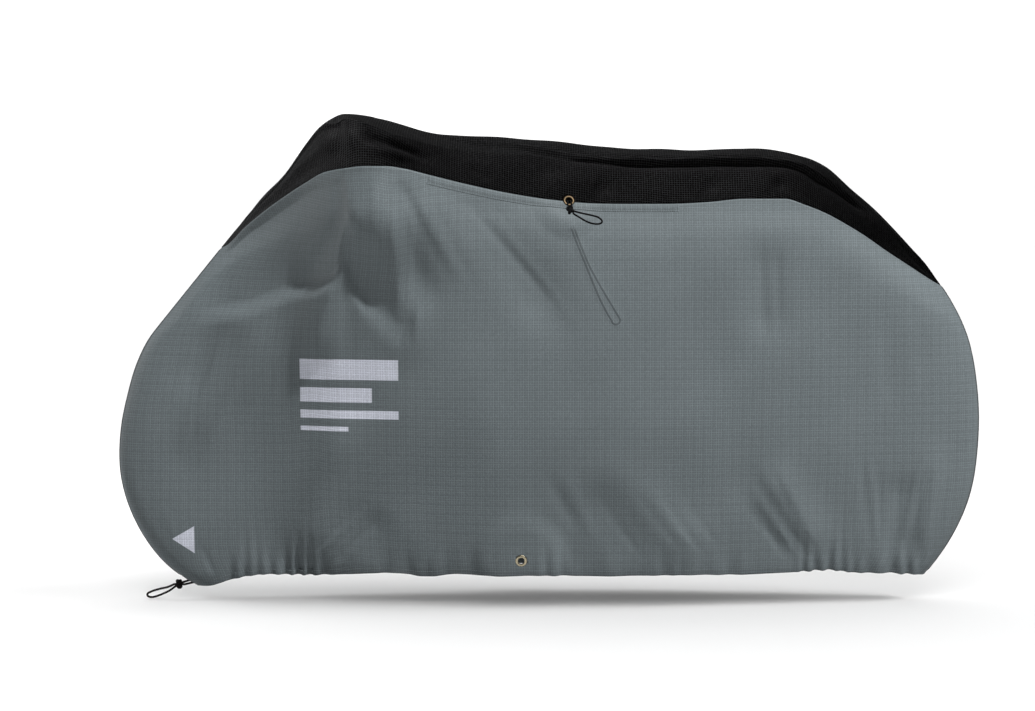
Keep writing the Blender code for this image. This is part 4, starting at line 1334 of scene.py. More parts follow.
# ---- cords ---------------------------------------------------------------------------------
@dataclass(frozen=True)
class Knot:
    """A tight knot: a trefoil of cord, (sin t + 2 sin 2t, cos t - 2 cos 2t, -sin 3t), pressed
    into the knot's own space.
    """

    node: str
    centre: Array
    size: tuple[float, float, float]
    toward: Array
    cord: float
    slot: str
    swell: float = 1.45          # how much thicker its cord is drawn
    spread: float = 1.20         # how much wider it is than the CAD's
    depth: float = 0.75          # how far it is flattened towards the camera

    @cached_property
    def axes(self) -> Array:
        """The knot's own axes, as columns, its length along the last."""
        return np.array(Vector(self.toward).to_track_quat("Z", "Y").to_matrix())

    def leaving(self, direction: Array, gap: float = 0.0003) -> list[Array]:
        """The start of a strand, straight out of the knot.

        Args:
            direction: Which way it goes.
            gap: How far off the knot's face it starts.

        Returns:
            Its first two points.
        """
        way = unit(np.array(direction, float))
        reach = 0.5 / np.linalg.norm((self.axes.T @ way) / np.array(self.size)) + gap
        return [self.centre + way * reach, self.centre + way * (reach + 0.004)]

    def build(self, material: bpy.types.Material) -> bpy.types.Object:
        """The knot's mesh, dressed and placed, with its flat side to the camera.

        Args:
            material: The cord's material.

        Returns:
            The piece.
        """
        t = np.linspace(0.0, 2 * math.pi, 181)[:-1]
        trefoil = np.stack([(np.sin(t) + 2 * np.sin(2 * t)) / 3, (np.cos(t) - 2 * np.cos(2 * t)) / 3,
                            -np.sin(3 * t)], -1)
        thick = self.cord / 2 * self.swell
        room = np.array(self.size)[[0, 2, 1]] / 2 * self.spread - thick
        local = trefoil * room * np.array([1.0, 1.0, self.depth])
        path = self.centre + local @ self.axes.T[[0, 2, 1]]
        piece = tube_mesh(f"{self.node}_turns", path, thick, material, 16, closed=True)
        return declared(piece, self.slot, self.node)


@dataclass(frozen=True)
class CordRun:
    """One free cord, by the points that the CAD's cord goes through."""

    node: str
    knots: Sequence[Array]
    diameter: float
    slot: str

    def build(self, material: bpy.types.Material, far_end: str, ends_in: Sequence = (),
              lay: str = "hanging") -> bpy.types.Object:
        """The cord's mesh, with its first and last steps straight, in place of the CAD's cord.

        Args:
            material: The cord's material.
            far_end: Not used.
            ends_in: Not used.
            lay: Not used.

        Returns:
            The piece.
        """
        path = np.concatenate([self.knots[:1], smooth_path(self.knots[1:-1], 0.0012),
                               self.knots[-1:]])
        piece = tube_mesh(f"{self.node}_braid", path, self.diameter / 2, material)
        placed = path - SHAPE.drop
        return declared(piece, self.slot, self.node)


@dataclass(frozen=True)
class Drawcords:
    """The top cord, through its eyelet, and the front hem cord.

    Points by the top eyelet are placed along the seam, down the cloth and out from it.
    """

    cord: float = 0.0040
    hem_cord: float = 0.0048
    inner_clear: float = 0.0052
    outer_points: tuple = (
        (0.0180, 0.0440, 0.0105), (0.0300, 0.0520, 0.0100), (0.0424, 0.0575, 0.0095),
        (0.0570, 0.0595, 0.0092), (0.0650, 0.0570, 0.0090), (0.0670, 0.0520, 0.0090),
        (0.0600, 0.0440, 0.0092), (0.0424, 0.0382, 0.0095), (0.0260, 0.0345, 0.0100),
    )
    going_in: tuple = (
        (-0.0029, 0.0020, 0.0040), (-0.0028, 0.0000, -0.0030),
        (-0.0026, 0.0070, -0.0100), (0.0030, 0.0240, -0.0085),
    )
    coming_out: tuple = (
        (0.0095, 0.0240, -0.0085), (0.0034, 0.0070, -0.0100),
        (0.0029, 0.0000, -0.0030), (0.0029, 0.0020, 0.0040),
    )
    front_points: tuple = (
        (-0.8530, -0.0120, 0.0265), (-0.8700, -0.0150, 0.0230), (-0.8880, -0.0170, 0.0175),
        (-0.8970, -0.0160, 0.0120), (-0.8960, -0.0140, 0.0065), (-0.8880, -0.0120, 0.0040),
        (-0.8770, -0.0100, 0.0060), (-0.8600, -0.0080, 0.0125), (-0.8470, -0.0060, 0.0190),
    )
    mouth_points: tuple = ((-0.7640, 1.5, 0.0105), (-0.7760, 1.2, 0.0060), (-0.7890, 1.0, 0.0022))

    def by_eyelet(self, rows: Sequence[tuple]) -> list[Array]:
        """Points placed from the top eyelet: along the seam, down the cloth, out from it."""
        centre, normal = SHAPE.eyelets["top_eyelet"]
        return list(centre + np.array(rows) @ np.stack(body_frame(normal)))

    def strand(self, sign: float) -> list[Array]:
        """One strand of the inner loop, to one side of its middle line."""
        middle, spread = inner_lines()
        return [SHAPE.behind(x, z, self.inner_clear) for x, z in middle + sign * spread]

    def build_top(self) -> None:
        """The knot below the top eyelet, its outer loop, and the loop inside the cloth."""
        a, d, _ = body_frame(SHAPE.eyelets["top_eyelet"][1])
        black = Braid("black_braid", (0.0008, 0.0008, 0.0009), (0.0035, 0.0035, 0.0038)).material()
        centre = self.by_eyelet([(-0.0005, 0.0265, 0.0110)])[0]
        knot = Knot("top_cord_knot", centre, (0.0150, 0.0150, 0.0180), d + 0.35 * a, self.cord,
                    "top_knot")
        lump = knot.build(black)
        outer = (knot.leaving(0.60 * a + 0.80 * d) + self.by_eyelet(self.outer_points)
                 + knot.leaving(0.95 * a + 0.35 * d)[::-1])
        inner = (knot.leaving(-0.35 * a - 0.85 * d) + self.by_eyelet(self.going_in)
                 + self.strand(-1) + [SHAPE.behind(*LOOP_END, self.inner_clear)]
                 + self.strand(1)[::-1] + self.by_eyelet(self.coming_out)
                 + knot.leaving(0.30 * a - 0.90 * d)[::-1])
        CordRun("top_cord_loop", outer, self.cord, "cord_black").build(black, "knot", [lump])
        CordRun("inner_cord_loop", inner, self.cord, "cord_black").build(black, "object")

    def build_front(self) -> None:
        """The two strands out of the hem's mouth, their knot, and the loop on the ground."""
        dark = Braid("dark_braid", (0.0030, 0.0024, 0.0022), (0.0120, 0.0095, 0.0085)).material()
        slot = "hem_cord_dark"
        knot = Knot("front_cord_knot", np.array([-0.8275, -0.004, 0.0335]),
                    (0.0145, 0.0145, 0.0205), np.array([-0.10, 0.0, 1.0]), self.hem_cord, slot)
        lump = knot.build(dark)
        loop = (knot.leaving((-0.95, -0.30, -0.12), 0.0006) + list(np.array(self.front_points))
                + knot.leaving((-0.85, 0.10, -0.65), 0.0006)[::-1])
        CordRun("front_cord_loop", loop, self.hem_cord, slot).build(dark, "knot", [lump], "loose")
        for title, y, exit_x, exit_height, turn in (
                ("near", -0.0038, -0.8005, 0.0350, -0.15), ("far", 0.0038, -0.8040, 0.0400, 0.30)):
            knots = [np.array([x, y * wide, exit_height + up]) for x, wide, up in
                     (*self.mouth_points, (exit_x, 1.0, 0.0))]
            knots += knot.leaving((0.95, y * 60, turn), 0.0007)[::-1]
            CordRun(f"front_cord_{title}", knots, self.hem_cord, slot).build(dark, "object")


def inner_lines() -> tuple[Array, Array]:
    """The inner loop's two strands.

    Returns:
        Their middle line as x and height, and the way from it to one of them.
    """
    middle = np.stack([column(INNER, "x"), column(INNER, "height")], -1)
    way = unit(np.gradient(middle, axis=0))
    return middle, column(INNER, "apart")[:, None] * np.stack([-way[:, 1], way[:, 0]], -1)


# ---- cloth ---------------------------------------------------------------------------------
def outside(points: Array, eyelets: Sequence[str], radius: float) -> Array:
    """Which cells of a grid stay, because none of their corners is inside an eyelet's hole.

    Args:
        points: The grid.
        eyelets: Names of the eyelets.
        radius: Radius of the holes.

    Returns:
        True for each cell that stays.
    """
    hit = np.zeros(points.shape[:2], bool)
    for name in eyelets:
        height, distance = SHAPE.from_eyelet(points, name)
        hit |= (distance < radius) & (np.abs(height) < 0.03)
    return ~(hit[:-1, :-1] | hit[1:, :-1] | hit[1:, 1:] | hit[:-1, 1:])


@dataclass(frozen=True)
class Sheet:
    """A piece of cloth, and the steps that every one goes through."""

    name: str
    nodes: tuple[str, ...]
    slot: str
    flat: tuple[float, float]
    area: float
    held: str = "draped"
    cloth: float = 0.0012

    def build(self, points: Array, keep: Array, outward: tuple, uv: Array, shade: Array,
              material: bpy.types.Material) -> bpy.types.Object:
        """The sheet's mesh with its thickness, half to each side, dressed and declared.

        Args:
            points: Grid of its points.
            keep: Which cells of the grid stay.
            outward: A direction that most of it faces.
            uv: Metres along its threads.
            shade: How much darker it is, at each point.
            material: The cloth's material.

        Returns:
            The piece.
        """
        faces = turned_out(points, grid_faces(*points.shape[:2], keep), np.array(outward))
        piece = mesh_object(self.name, points, faces, material, uv, {"shade": shade})
        thick = piece.modifiers.new("thickness", "SOLIDIFY")
        thick.thickness = self.cloth
        thick.offset = 0.0
        thick.use_even_offset = False
        return declared(piece, self.slot, *self.nodes)


@dataclass(frozen=True)
class Relief:
    """The fine relief of a side: creases, puckers over the hem, and the cord pressed against
    it from inside.
    """

    side: Side
    mirror_shift: float = 0.025  # how far back the far side's creases are
    mirror_share: float = 0.8    # how strong they are
    tuck_in: float = 0.013       # how far the cloth is sunk above the crease under the bulge
    shelf_out: float = 0.006     # how far it stands out below that crease
    lobe_in: float = 0.012       # how far it is sunk beside that crease
    tuck_heights: tuple = (-0.020, 0.030, 0.14, 0.26)
    shelf_heights: tuple = (-0.35, -0.04)
    tuck_ends: tuple = (-0.80, -0.70, -0.47, -0.43)
    lobe_heights: tuple = (-0.02, 0.045, 0.05, 0.22)
    lobe_ends: tuple = (-0.47, -0.43, -0.32, -0.26)
    cord_out: float = 0.0010
    cord_wide: float = 0.0045
    cord_shift: tuple[float, float] = (-0.0035, -0.003)
    cord_window: tuple = ((-0.02, 0.58), (0.22, 0.88))
    pucker_edge: float = 0.05

    def hollow(self, x: Array, z: Array) -> Array:
        """The slack under the front bulge: sunk above a crease and standing out below it, with a
        smooth step between the two, and sunk in one smooth lobe beside that.

        Args:
            x: x of the points.
            z: Their heights.

        Returns:
            How far each stands out.
        """
        over = z - np.interp(x, *line(TUCK))
        above = smoothstep(*self.tuck_heights[:2], over)
        sunk = window(*self.tuck_heights, over)
        shelf = (1 - above) * smoothstep(*self.shelf_heights, over)
        tuck = (self.shelf_out * shelf - self.tuck_in * sunk) * window(*self.tuck_ends, x)
        lobe = window(*self.lobe_heights, z - np.interp(x, *line(LOBE)))
        return tuck - self.lobe_in * lobe * window(*self.lobe_ends, x)

    def puckered(self, x: Array, up: Array) -> Array:
        """Short waves that fade within their reach above the hem; the phase wanders with x so
        that no two are alike.

        Args:
            x: x of the points.
            up: Their heights above the hem.

        Returns:
            How far each stands out.
        """
        total = np.zeros_like(x)
        for row in PUCKERS:
            ends = window(row.x0, row.x0 + self.pucker_edge, row.x1 - self.pucker_edge, row.x1, x)
            phase = 2 * math.pi * x / row.spacing + 2.2 * np.sin(x * 21.0) + 0.9 * np.sin(x * 47.0)
            size = row.size * (1 + 0.45 * np.sin(x * 33.0 + 1.0))
            reach = row.reach * (1 + 0.35 * np.sin(x * 58.0 + 2.0))
            total += ends * size * np.sin(phase) * np.exp(-((up / reach) ** 2))
        return total

    def cord(self, x: Array, z: Array) -> Array:
        """The ridge out * exp(-(distance / wide)^2) over the nearest strand of the inner loop.

        Args:
            x: x of the points.
            z: Their heights.

        Returns:
            How far each stands out.
        """
        middle, spread = inner_lines()
        knots = np.concatenate([middle - spread, [LOOP_END], (middle + spread)[::-1]])
        knots = knots + np.array(self.cord_shift)
        path = smooth_path(np.c_[knots, np.zeros(len(knots))], 0.003)
        (x0, z0), (x1, z1) = self.cord_window
        near = (x > x0) & (x < x1) & (z > z0) & (z < z1)
        gap = np.hypot(x[near][:, None] - path[:, 0], z[near][:, None] - path[:, 1])
        found = np.zeros_like(x)
        found[near] = self.cord_out * np.exp(-((gap.min(axis=1) / self.cord_wide) ** 2))
        return found

    def total(self, base: Array, s: Array, t: Array) -> Array:
        """How far the fine relief stands off the CAD's surface.

        Args:
            base: Points of that surface.
            s: Their columns.
            t: Their rows.

        Returns:
            The height at each point.
        """
        x, z = base[..., 0], base[..., 2]
        near = self.side is Side.NEAR
        folds = creased(CREASES, x if near else x - self.mirror_shift, z)
        total = folds * (1.0 if near else self.mirror_share) + rippled(UNEVEN, x, z)
        total = total + self.puckered(x, z - SHAPE.hem_at(s)[1])
        for name in ("top_eyelet", f"{self.side.title}_hem_eyelet"):
            gap = np.linalg.norm(base - SHAPE.eyelets[name][0], axis=-1)
            total = total * smoothstep(0.016, 0.040, gap)
        if near:
            total = total + self.cord(x, z) + self.hollow(x, z)
        return total * smoothstep(0.0, 0.035, np.minimum(s, 1 - s)) * smoothstep(0.0, 0.045, t)


@dataclass(frozen=True)
class SidePanel:
    """One side of the cover: a sheet of ripstop with a hem turned up inside.

    Its grid is closer where the cloth turns sharply, is pressed or gathered.
    """

    side: Side
    hem_turn: float = 0.018
    hem_depth: float = 0.0042
    hem_layers: tuple = ((0.5, -0.0009, 0.0), (0.95, 0.0012, 0.0), (1.0, 0.0, 0.5), (1.0, 0.0, 1.0))
    eyelet_hole: float = 0.0086
    step: float = 0.0015
    sag: float = 0.014
    sag_x: float = -0.050
    sag_wide: float = 0.070
    sag_heights: tuple[float, float] = (0.070, 0.091)
    # Painted shade: the cloth is drawn darker towards the hem's lower edge.
    dust: float = 0.16
    dust_heights: tuple[float, float] = (0.002, 0.030)
    columns: tuple = ((0.0, 0.035, 15), (0.035, 0.435, 122), (0.435, 0.565, 44),
                      (0.565, 0.965, 130), (0.965, 1.0, 14))
    rows: tuple = ((0.0, 0.05, 9), (0.05, 0.37, 62), (0.37, 0.86, 34), (0.86, 1.0, 38))

    def outer(self, s: Array, t: Array) -> Array:
        """Points of the finished face at any columns and rows, side by side.

        Args:
            s: Columns.
            t: Rows.

        Returns:
            The points in the ground frame.
        """
        base = SHAPE.side(s, t, self.side)
        normal = stepped(lambda u, v: SHAPE.side(u, v, self.side), s, t, self.step, self.side)
        points = base + normal * Relief(self.side).total(base, s, t)[..., None]
        if self.side is Side.FAR:
            # The far hem hangs a little lower here, so it closes the view through the near eyelet.
            near = np.exp(-(((base[..., 0] - self.sag_x) / self.sag_wide) ** 2))
            points[..., 2] -= self.sag * near * (1 - smoothstep(*self.sag_heights, base[..., 2]))
        return points

    def turned_hem(self, face: Array) -> Array:
        """Rows of the cloth that is folded up inside along the hem.

        Args:
            face: Points of the face.

        Returns:
            The rows, from the fold on.
        """
        inward = -normals_of(face, (0.0, self.side.value, 0.0))[-1]
        # By the end seams, where both sides meet, it turns along them and not across.
        inward[:, 1] *= smoothstep(0.012, 0.030, np.abs(face[-1, :, 1]))
        inward = unit(inward) * self.hem_depth
        up = unit(face[-2] - face[-1])
        return np.stack([face[-1] + inward * depth + up * (rise + self.hem_turn * share)
                         for depth, rise, share in self.hem_layers])

    def build(self, material: bpy.types.Material) -> bpy.types.Object:
        """The side's mesh, dressed, declared and placed, with dust along its hem.

        Args:
            material: The cloth's material.

        Returns:
            The piece.
        """
        title = self.side.title
        s, t = np.meshgrid(graded(*self.columns), graded(*self.rows))
        face = self.outer(s, t)
        layers = np.concatenate([face, self.turned_hem(face)])
        keep = outside(layers, ("top_eyelet", f"{title}_hem_eyelet"), self.eyelet_hole)
        up = layers[..., 2] - SHAPE.hem_at(s[0])[1]
        # Painted shade, darker towards the lower edge of the hem.
        shade = self.dust * (1 - smoothstep(*self.dust_heights, up))
        # Metres along the threads, measured from the middle of the side.
        level, middle = face.shape[0] // 2, face.shape[1] // 2
        along = signed_run(layers, 1, 0, slice(0, 2))
        down = signed_run(layers, 0, 2, slice(1, 3))
        u = along - along[:, middle:middle + 1] + layers[:, middle:middle + 1, 0]
        v = down - down[level:level + 1] + layers[level:level + 1, :, 2]
        sheet = Sheet(f"{title}_side_cloth", (f"{title}_side_panel", f"{title}_hem_patch"),
                      f"{title}_side_cloth", flat=(1.80, 1.02), area=1.584)
        return sheet.build(layers, keep, (0.0, self.side.value, 0.0), np.stack([u, v], -1), shade,
                           material)


@dataclass(frozen=True)
class TopGusset:
    """The black cloth over the top, sewn between the two sides."""

    tuck: float = 0.00625        # share of the way down a side at which its edge ends
    under: float = 0.0016        # how far behind the side that edge is
    edge_drop: float = 0.0010
    eyelet_hole: float = 0.0086
    columns: tuple = ((0.0, 0.03, 8), (0.03, 0.44, 80), (0.44, 0.52, 40), (0.52, 0.97, 84),
                      (0.97, 1.0, 8))
    half: tuple = ((0.0, 0.30, 12), (0.30, 0.86, 44), (0.86, 1.0, 12))

    def relief(self, grid: Array, across: Array) -> Array:
        """The rolled ridge and slack folds of the top, in x and the share across it.

        Args:
            grid: Points of the CAD's surface.
            across: From the near seam (-1) to the far one.

        Returns:
            How far the cloth stands off that surface.
        """
        x, part = grid[..., 0], np.abs(across)
        folds = creased(TOP_CREASES, x, part * TOP_SPAN) + rippled(TOP_WAVES, x, part)
        gap = np.linalg.norm(grid - SHAPE.eyelets["top_eyelet"][0], axis=-1)
        held = smoothstep(0.0, 0.10, 1 - part) * smoothstep(0.015, 0.040, gap)
        return folds * held * smoothstep(0.0, 0.05, np.minimum(x - x.min(), x.max() - x))

    def build(self, material: bpy.types.Material) -> bpy.types.Object:
        """The gusset's mesh, whose edges go on down behind the sides.

        Args:
            material: The cloth's material.

        Returns:
            The piece.
        """
        half = graded(*self.half)
        s, v = np.meshgrid(graded(*self.columns), np.concatenate([-half[:0:-1], half]))
        grid = SHAPE.gusset(s, v)
        normal = normals_of(grid, (0.0, 0.0, 1.0))
        grid = grid + normal * self.relief(grid, v)[..., None]
        grid[[0, -1]] -= normal[[0, -1]] * self.edge_drop
        near, far = (SHAPE.side(s[:1], np.full_like(s[:1], self.tuck), side)
                     - np.array([0.0, side.value * self.under, 0.0]) for side in Side)
        layers = np.concatenate([near, grid, far])
        middle = len(layers) // 2
        steps = np.linalg.norm(np.diff(layers[..., 1:], axis=0), axis=-1)
        v_run = np.concatenate([np.zeros_like(steps[:1]), np.cumsum(steps, axis=0)])
        crest = layers[middle]
        u_run = run_of(crest) - np.interp(0.0, crest[:, 0], run_of(crest))
        uv = np.stack(np.broadcast_arrays(u_run[None], v_run - v_run[middle]), -1)
        sheet = Sheet("top_gusset_cloth", ("top_gusset",), "gusset_cloth", flat=(1.95, 0.72),
                      area=0.678)
        return sheet.build(layers, outside(layers, ("top_eyelet",), self.eyelet_hole),
                           (0.0, 0.0, 1.0), uv, np.zeros(layers.shape[:2]), material)


@dataclass(frozen=True)
class CasingStrip:
    """The facing over the near side's top edge, which holds the top cord's casing."""

    panel: SidePanel
    first: float = 0.29357       # columns between which it runs
    last: float = 0.63040
    start: float = 0.0006        # share of the way down to its upper edge
    deep: float = 0.0240         # share of the way down to its lower edge
    lift: float = 0.0015
    step: float = 0.002
    hole: float = 0.0118
    puff: float = 0.0007         # how far the cord in it lifts it, above the lower stitches
    puff_share: float = 0.68
    wrinkle: float = 0.0003
    inset: float = 0.002         # how far within its ends it is stitched
    thread_lift: float = 0.0005

    def surface(self, s: Array, t: Array) -> tuple[Array, Array]:
        """Points of the side under the strip, and the normals there."""
        return self.panel.outer(s, t), stepped(self.panel.outer, s, t, self.step, self.panel.side)

    def build(self, material: bpy.types.Material) -> bpy.types.Object:
        """The strip's mesh, puffed between its stitch lines.

        Args:
            material: The cloth's material.

        Returns:
            The piece.
        """
        s, t = np.meshgrid(np.linspace(self.first, self.last, 260),
                           np.linspace(self.start, self.deep, 12))
        base, normal = self.surface(s, t)
        down = (t - t.min()) / (t.max() - t.min())
        puff = self.puff * np.sin(math.pi * np.clip(down / self.puff_share, 0, 1))
        wrinkle = self.wrinkle * np.sin(s * 620.0 + 3.0 * np.sin(s * 90.0)) * np.sin(math.pi * down)
        grid = base + normal * (self.lift + puff * (down < self.puff_share) + wrinkle)[..., None]
        uv = np.stack([grid[..., 0] + 0.004, -down * 0.0205 + 0.003], -1)
        sheet = Sheet("casing_strip_cloth", ("casing_strip",), "casing_cloth",
                      flat=(0.552, 0.0215), area=0.0110, held="stretched", cloth=0.0008)
        return sheet.build(grid, outside(grid, ("top_eyelet",), self.hole),
                           (0.0, self.panel.side.value, 0.0), uv, np.zeros_like(s), material)

    def seams(self) -> list[tuple[Array, Array]]:
        """The stitches that hold the strip: two rows along it and one at each end.

        Returns:
            Points and normals of each path.
        """
        lift = self.lift + self.thread_lift
        found = stitched_rows(self, (0.0165, 0.0225), self.first + self.inset,
                              self.last - self.inset, lift)
        for end in (self.first + self.inset, self.last - self.inset):
            rows = np.linspace(0.003, self.deep - self.inset, 40)
            base, normal = self.surface(np.full(len(rows), end), rows)
            found.append((base + normal * lift, normal))
        return found


# ---- sewing and metal ----------------------------------------------------------------------
def stitched_rows(strip: CasingStrip, rows: Sequence[float], first: float, last: float,
                  lift: float) -> list[tuple[Array, Array]]:
    """Paths for stitches along rows of a side, lifted off its face.

    Args:
        strip: A strip on that side, for the surface under it.
        rows: Rows to follow.
        first: First column.
        last: Last column.
        lift: How far the path is off the middle of the cloth.

    Returns:
        Points and normals of each path.
    """
    s = np.linspace(first, last, 900)
    faces = [strip.surface(s, np.full(len(s), row)) for row in rows]
    return [(base + normal * lift, normal) for base, normal in faces]


@dataclass(frozen=True)
class Stitches:
    """A row of stitches: one small capsule for each, laid along a path and turned to it."""

    name: str
    length: float = 0.0032
    pitch: float = 0.0044
    radius: float = 0.00045
    section: tuple = ((-0.5, 0.15), (-0.42, 0.75), (-0.2, 1.0), (0.2, 1.0), (0.42, 0.75), (0.5, 0.15))

    def build(self, paths: list[tuple[Array, Array]], material: bpy.types.Material,
              ) -> bpy.types.Object:
        """All the stitches of some paths, as one piece.

        Args:
            paths: Points and unit normals of each path.
            material: The thread's material.

        Returns:
            The piece.
        """
        along, wide = np.array(self.section).T
        turn = np.linspace(0, 2 * math.pi, 7)[:-1]
        capsule = np.stack([
            np.repeat(along * self.length, 6), np.outer(wide, np.cos(turn)).ravel() * self.radius,
            np.outer(wide, np.sin(turn)).ravel() * self.radius], -1)
        found = []
        for path, normal in paths:
            run = run_of(path)
            at = np.arange(self.pitch, run[-1] - self.pitch, self.pitch)
            centre = sampled(run, path, at)
            way = unit(sampled(run, path, at + 0.0005) - centre)
            across = unit(np.cross(way, unit(sampled(run, normal, at))))
            basis = np.stack([way, across, np.cross(across, way)], 1)
            found.append(centre[:, None] + np.einsum("vk,nkj->nvj", capsule, basis))
        points = np.concatenate(found)
        count, size = points.shape[:2]
        starts = np.arange(count)[:, None, None] * size
        quads = (grid_faces(6, 6, wrap=True)[None] + starts).reshape(-1, 4)
        quads = turned_out(points, quads, points.mean(axis=1)[quads[:, 0] // size], about=True)
        piece = mesh_object(self.name, points, quads, material)
        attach(piece, "root")
        return piece


@dataclass(frozen=True)
class EndSeam:
    """The raised seam where both sides meet at an end: two narrow rolls side by side."""

    name: str
    end: End
    until: float                 # share of the end's seam that it covers
    wide: float = 0.0034
    stand: float = 0.0022
    waist: float = 0.38          # depth of the dip between the two rolls
    off: float = 0.0004

    def build(self, material: bpy.types.Material) -> bpy.types.Object:
        """The seam's mesh: a flattened tube along the end's path.

        Args:
            material: The tape's material.

        Returns:
            The piece.
        """
        share, flat = self.end.seam
        use = share < self.until
        path = np.stack([flat[use, 0], np.zeros(use.sum()), flat[use, 1]], -1)
        run = run_of(path)
        path = sampled(run, path, np.linspace(0.0, run[-1], 260))
        across = np.array([0.0, 1.0, 0.0])
        out = unit(np.cross(unit(np.gradient(path, axis=0)), across))
        out = out * np.sign(np.sum(out * (path - path.mean(axis=0)), axis=1, keepdims=True))
        turn = np.linspace(0.0, 2 * math.pi, 19)
        waist = 1 - self.waist * np.exp(-((np.abs(np.sin(turn)) - 1) / 0.22) ** 2)
        order = np.arange(len(path))
        taper = np.minimum(1.0, np.minimum(order, order[::-1]) / 3 + 0.05)
        ring = (
            np.cos(turn)[None, :, None] * self.wide / 2 * across[None, None]
            + (np.sin(turn) * waist)[None, :, None] * self.stand * out[:, None]
        )
        points = path[:, None] + out[:, None] * self.off + ring * taper[:, None, None]
        faces = grid_faces(*points.shape[:2])
        faces = turned_out(points, faces, ring.reshape(-1, 3)[faces[:, 0]])
        piece = mesh_object(self.name, points, faces, material)
        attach(piece, "root")
        return piece


@dataclass(frozen=True)
class Eyelet:
    """A rolled brass ring: a round crown on each face and a barrel through the cloth."""

    node: str
    slot: str
    bore: float = 0.0070
    out: float = 0.0130
    crown: float = 0.0016
    face: float = 0.0010
    barrel: float = 0.0008       # how far the barrel is outside the bore
    around: int = 72

    def profile(self) -> tuple[Array, Array]:
        """Radius and height of the section: half a wave for each crown, joined by the bore.

        Returns:
            The section's points, and how near each is to the crown's top.
        """
        share = np.linspace(0.0, 1.0, 15)
        radius = self.bore + (self.out - self.bore) * share
        rise = self.crown * np.sin(math.pi * np.clip(share * 0.92 + 0.10, 0, 1)) ** 0.6
        upper = np.stack([radius, self.face + rise], -1)
        lower = np.stack([radius, -self.face - 0.5 * rise], -1)[::-1]
        ends = np.array([[1.0, self.face], [1.0, -self.face], [0.0, -self.face / 2],
                         [0.0, self.face / 2]])
        ends[:, 0] = self.bore + self.barrel * ends[:, 0]
        points = np.concatenate([upper, ends[:2], lower[:1], lower, ends[2:]])
        bright = np.sin(math.pi * share)
        return points, np.concatenate([bright, np.zeros(3), bright * 0.5, np.zeros(2)])

    def build(self, material: bpy.types.Material) -> bpy.types.Object:
        """The ring's mesh: its section turned about the eyelet's axis.

        Args:
            material: The metal's material.

        Returns:
            The piece.
        """
        centre, normal = SHAPE.eyelets[self.node]
        along, down, _ = body_frame(normal)
        section, worn = self.profile()
        turn = np.linspace(0.0, 2 * math.pi, self.around + 1)[:-1]
        way = np.cos(turn)[:, None] * along + np.sin(turn)[:, None] * down
        points = centre + section[:, None, :1] * way[None] + section[:, None, 1:] * normal
        points = np.concatenate([points, points[:1]])
        faces = grid_faces(*points.shape[:2], wrap=True)
        middle = centre + way * (self.bore + self.out) / 2
        faces = turned_out(points, faces, middle[faces[:, 0] % self.around], about=True)
        crown = np.repeat(np.append(worn, worn[0]), self.around)
        piece = mesh_object(f"{self.node}_ring", points, faces, material, None, {"crown": crown})
        return declared(piece, self.slot, self.node)


# ---- studio --------------------------------------------------------------------------------
@dataclass(frozen=True)
class Sun:
    """A distant light: the way it travels, its strength and its width in degrees."""

    name: str
    way: tuple[float, float, float]
    strength: float
    angle: float

    def build(self, onto: Sequence[bpy.types.Object], past: Sequence[bpy.types.Object] = (),
              ) -> None:
        """The light, which reaches only some of the pieces.

        Args:
            onto: The pieces that it lights.
            past: The pieces that cast its shadows, or none for all of them.
        """
        data = bpy.data.lights.new(self.name, "SUN")
        data.energy = self.strength
        data.angle = math.radians(self.angle)
        linking = linked(self.name, data, self.way).light_linking
        linking.receiver_collection = self.group("lit_by", onto)
        if past:
            linking.blocker_collection = self.group("shading", past)

    def group(self, what: str, pieces: Sequence[bpy.types.Object]) -> bpy.types.Collection:
        """A collection of pieces, named after the light.

        Args:
            what: The first part of its name.
            pieces: The pieces.

        Returns:
            The collection.
        """
        made = bpy.data.collections.new(f"{what}_{self.name}")
        bpy.context.scene.collection.children.link(made)
        for piece in pieces:
            made.objects.link(piece)
        return made


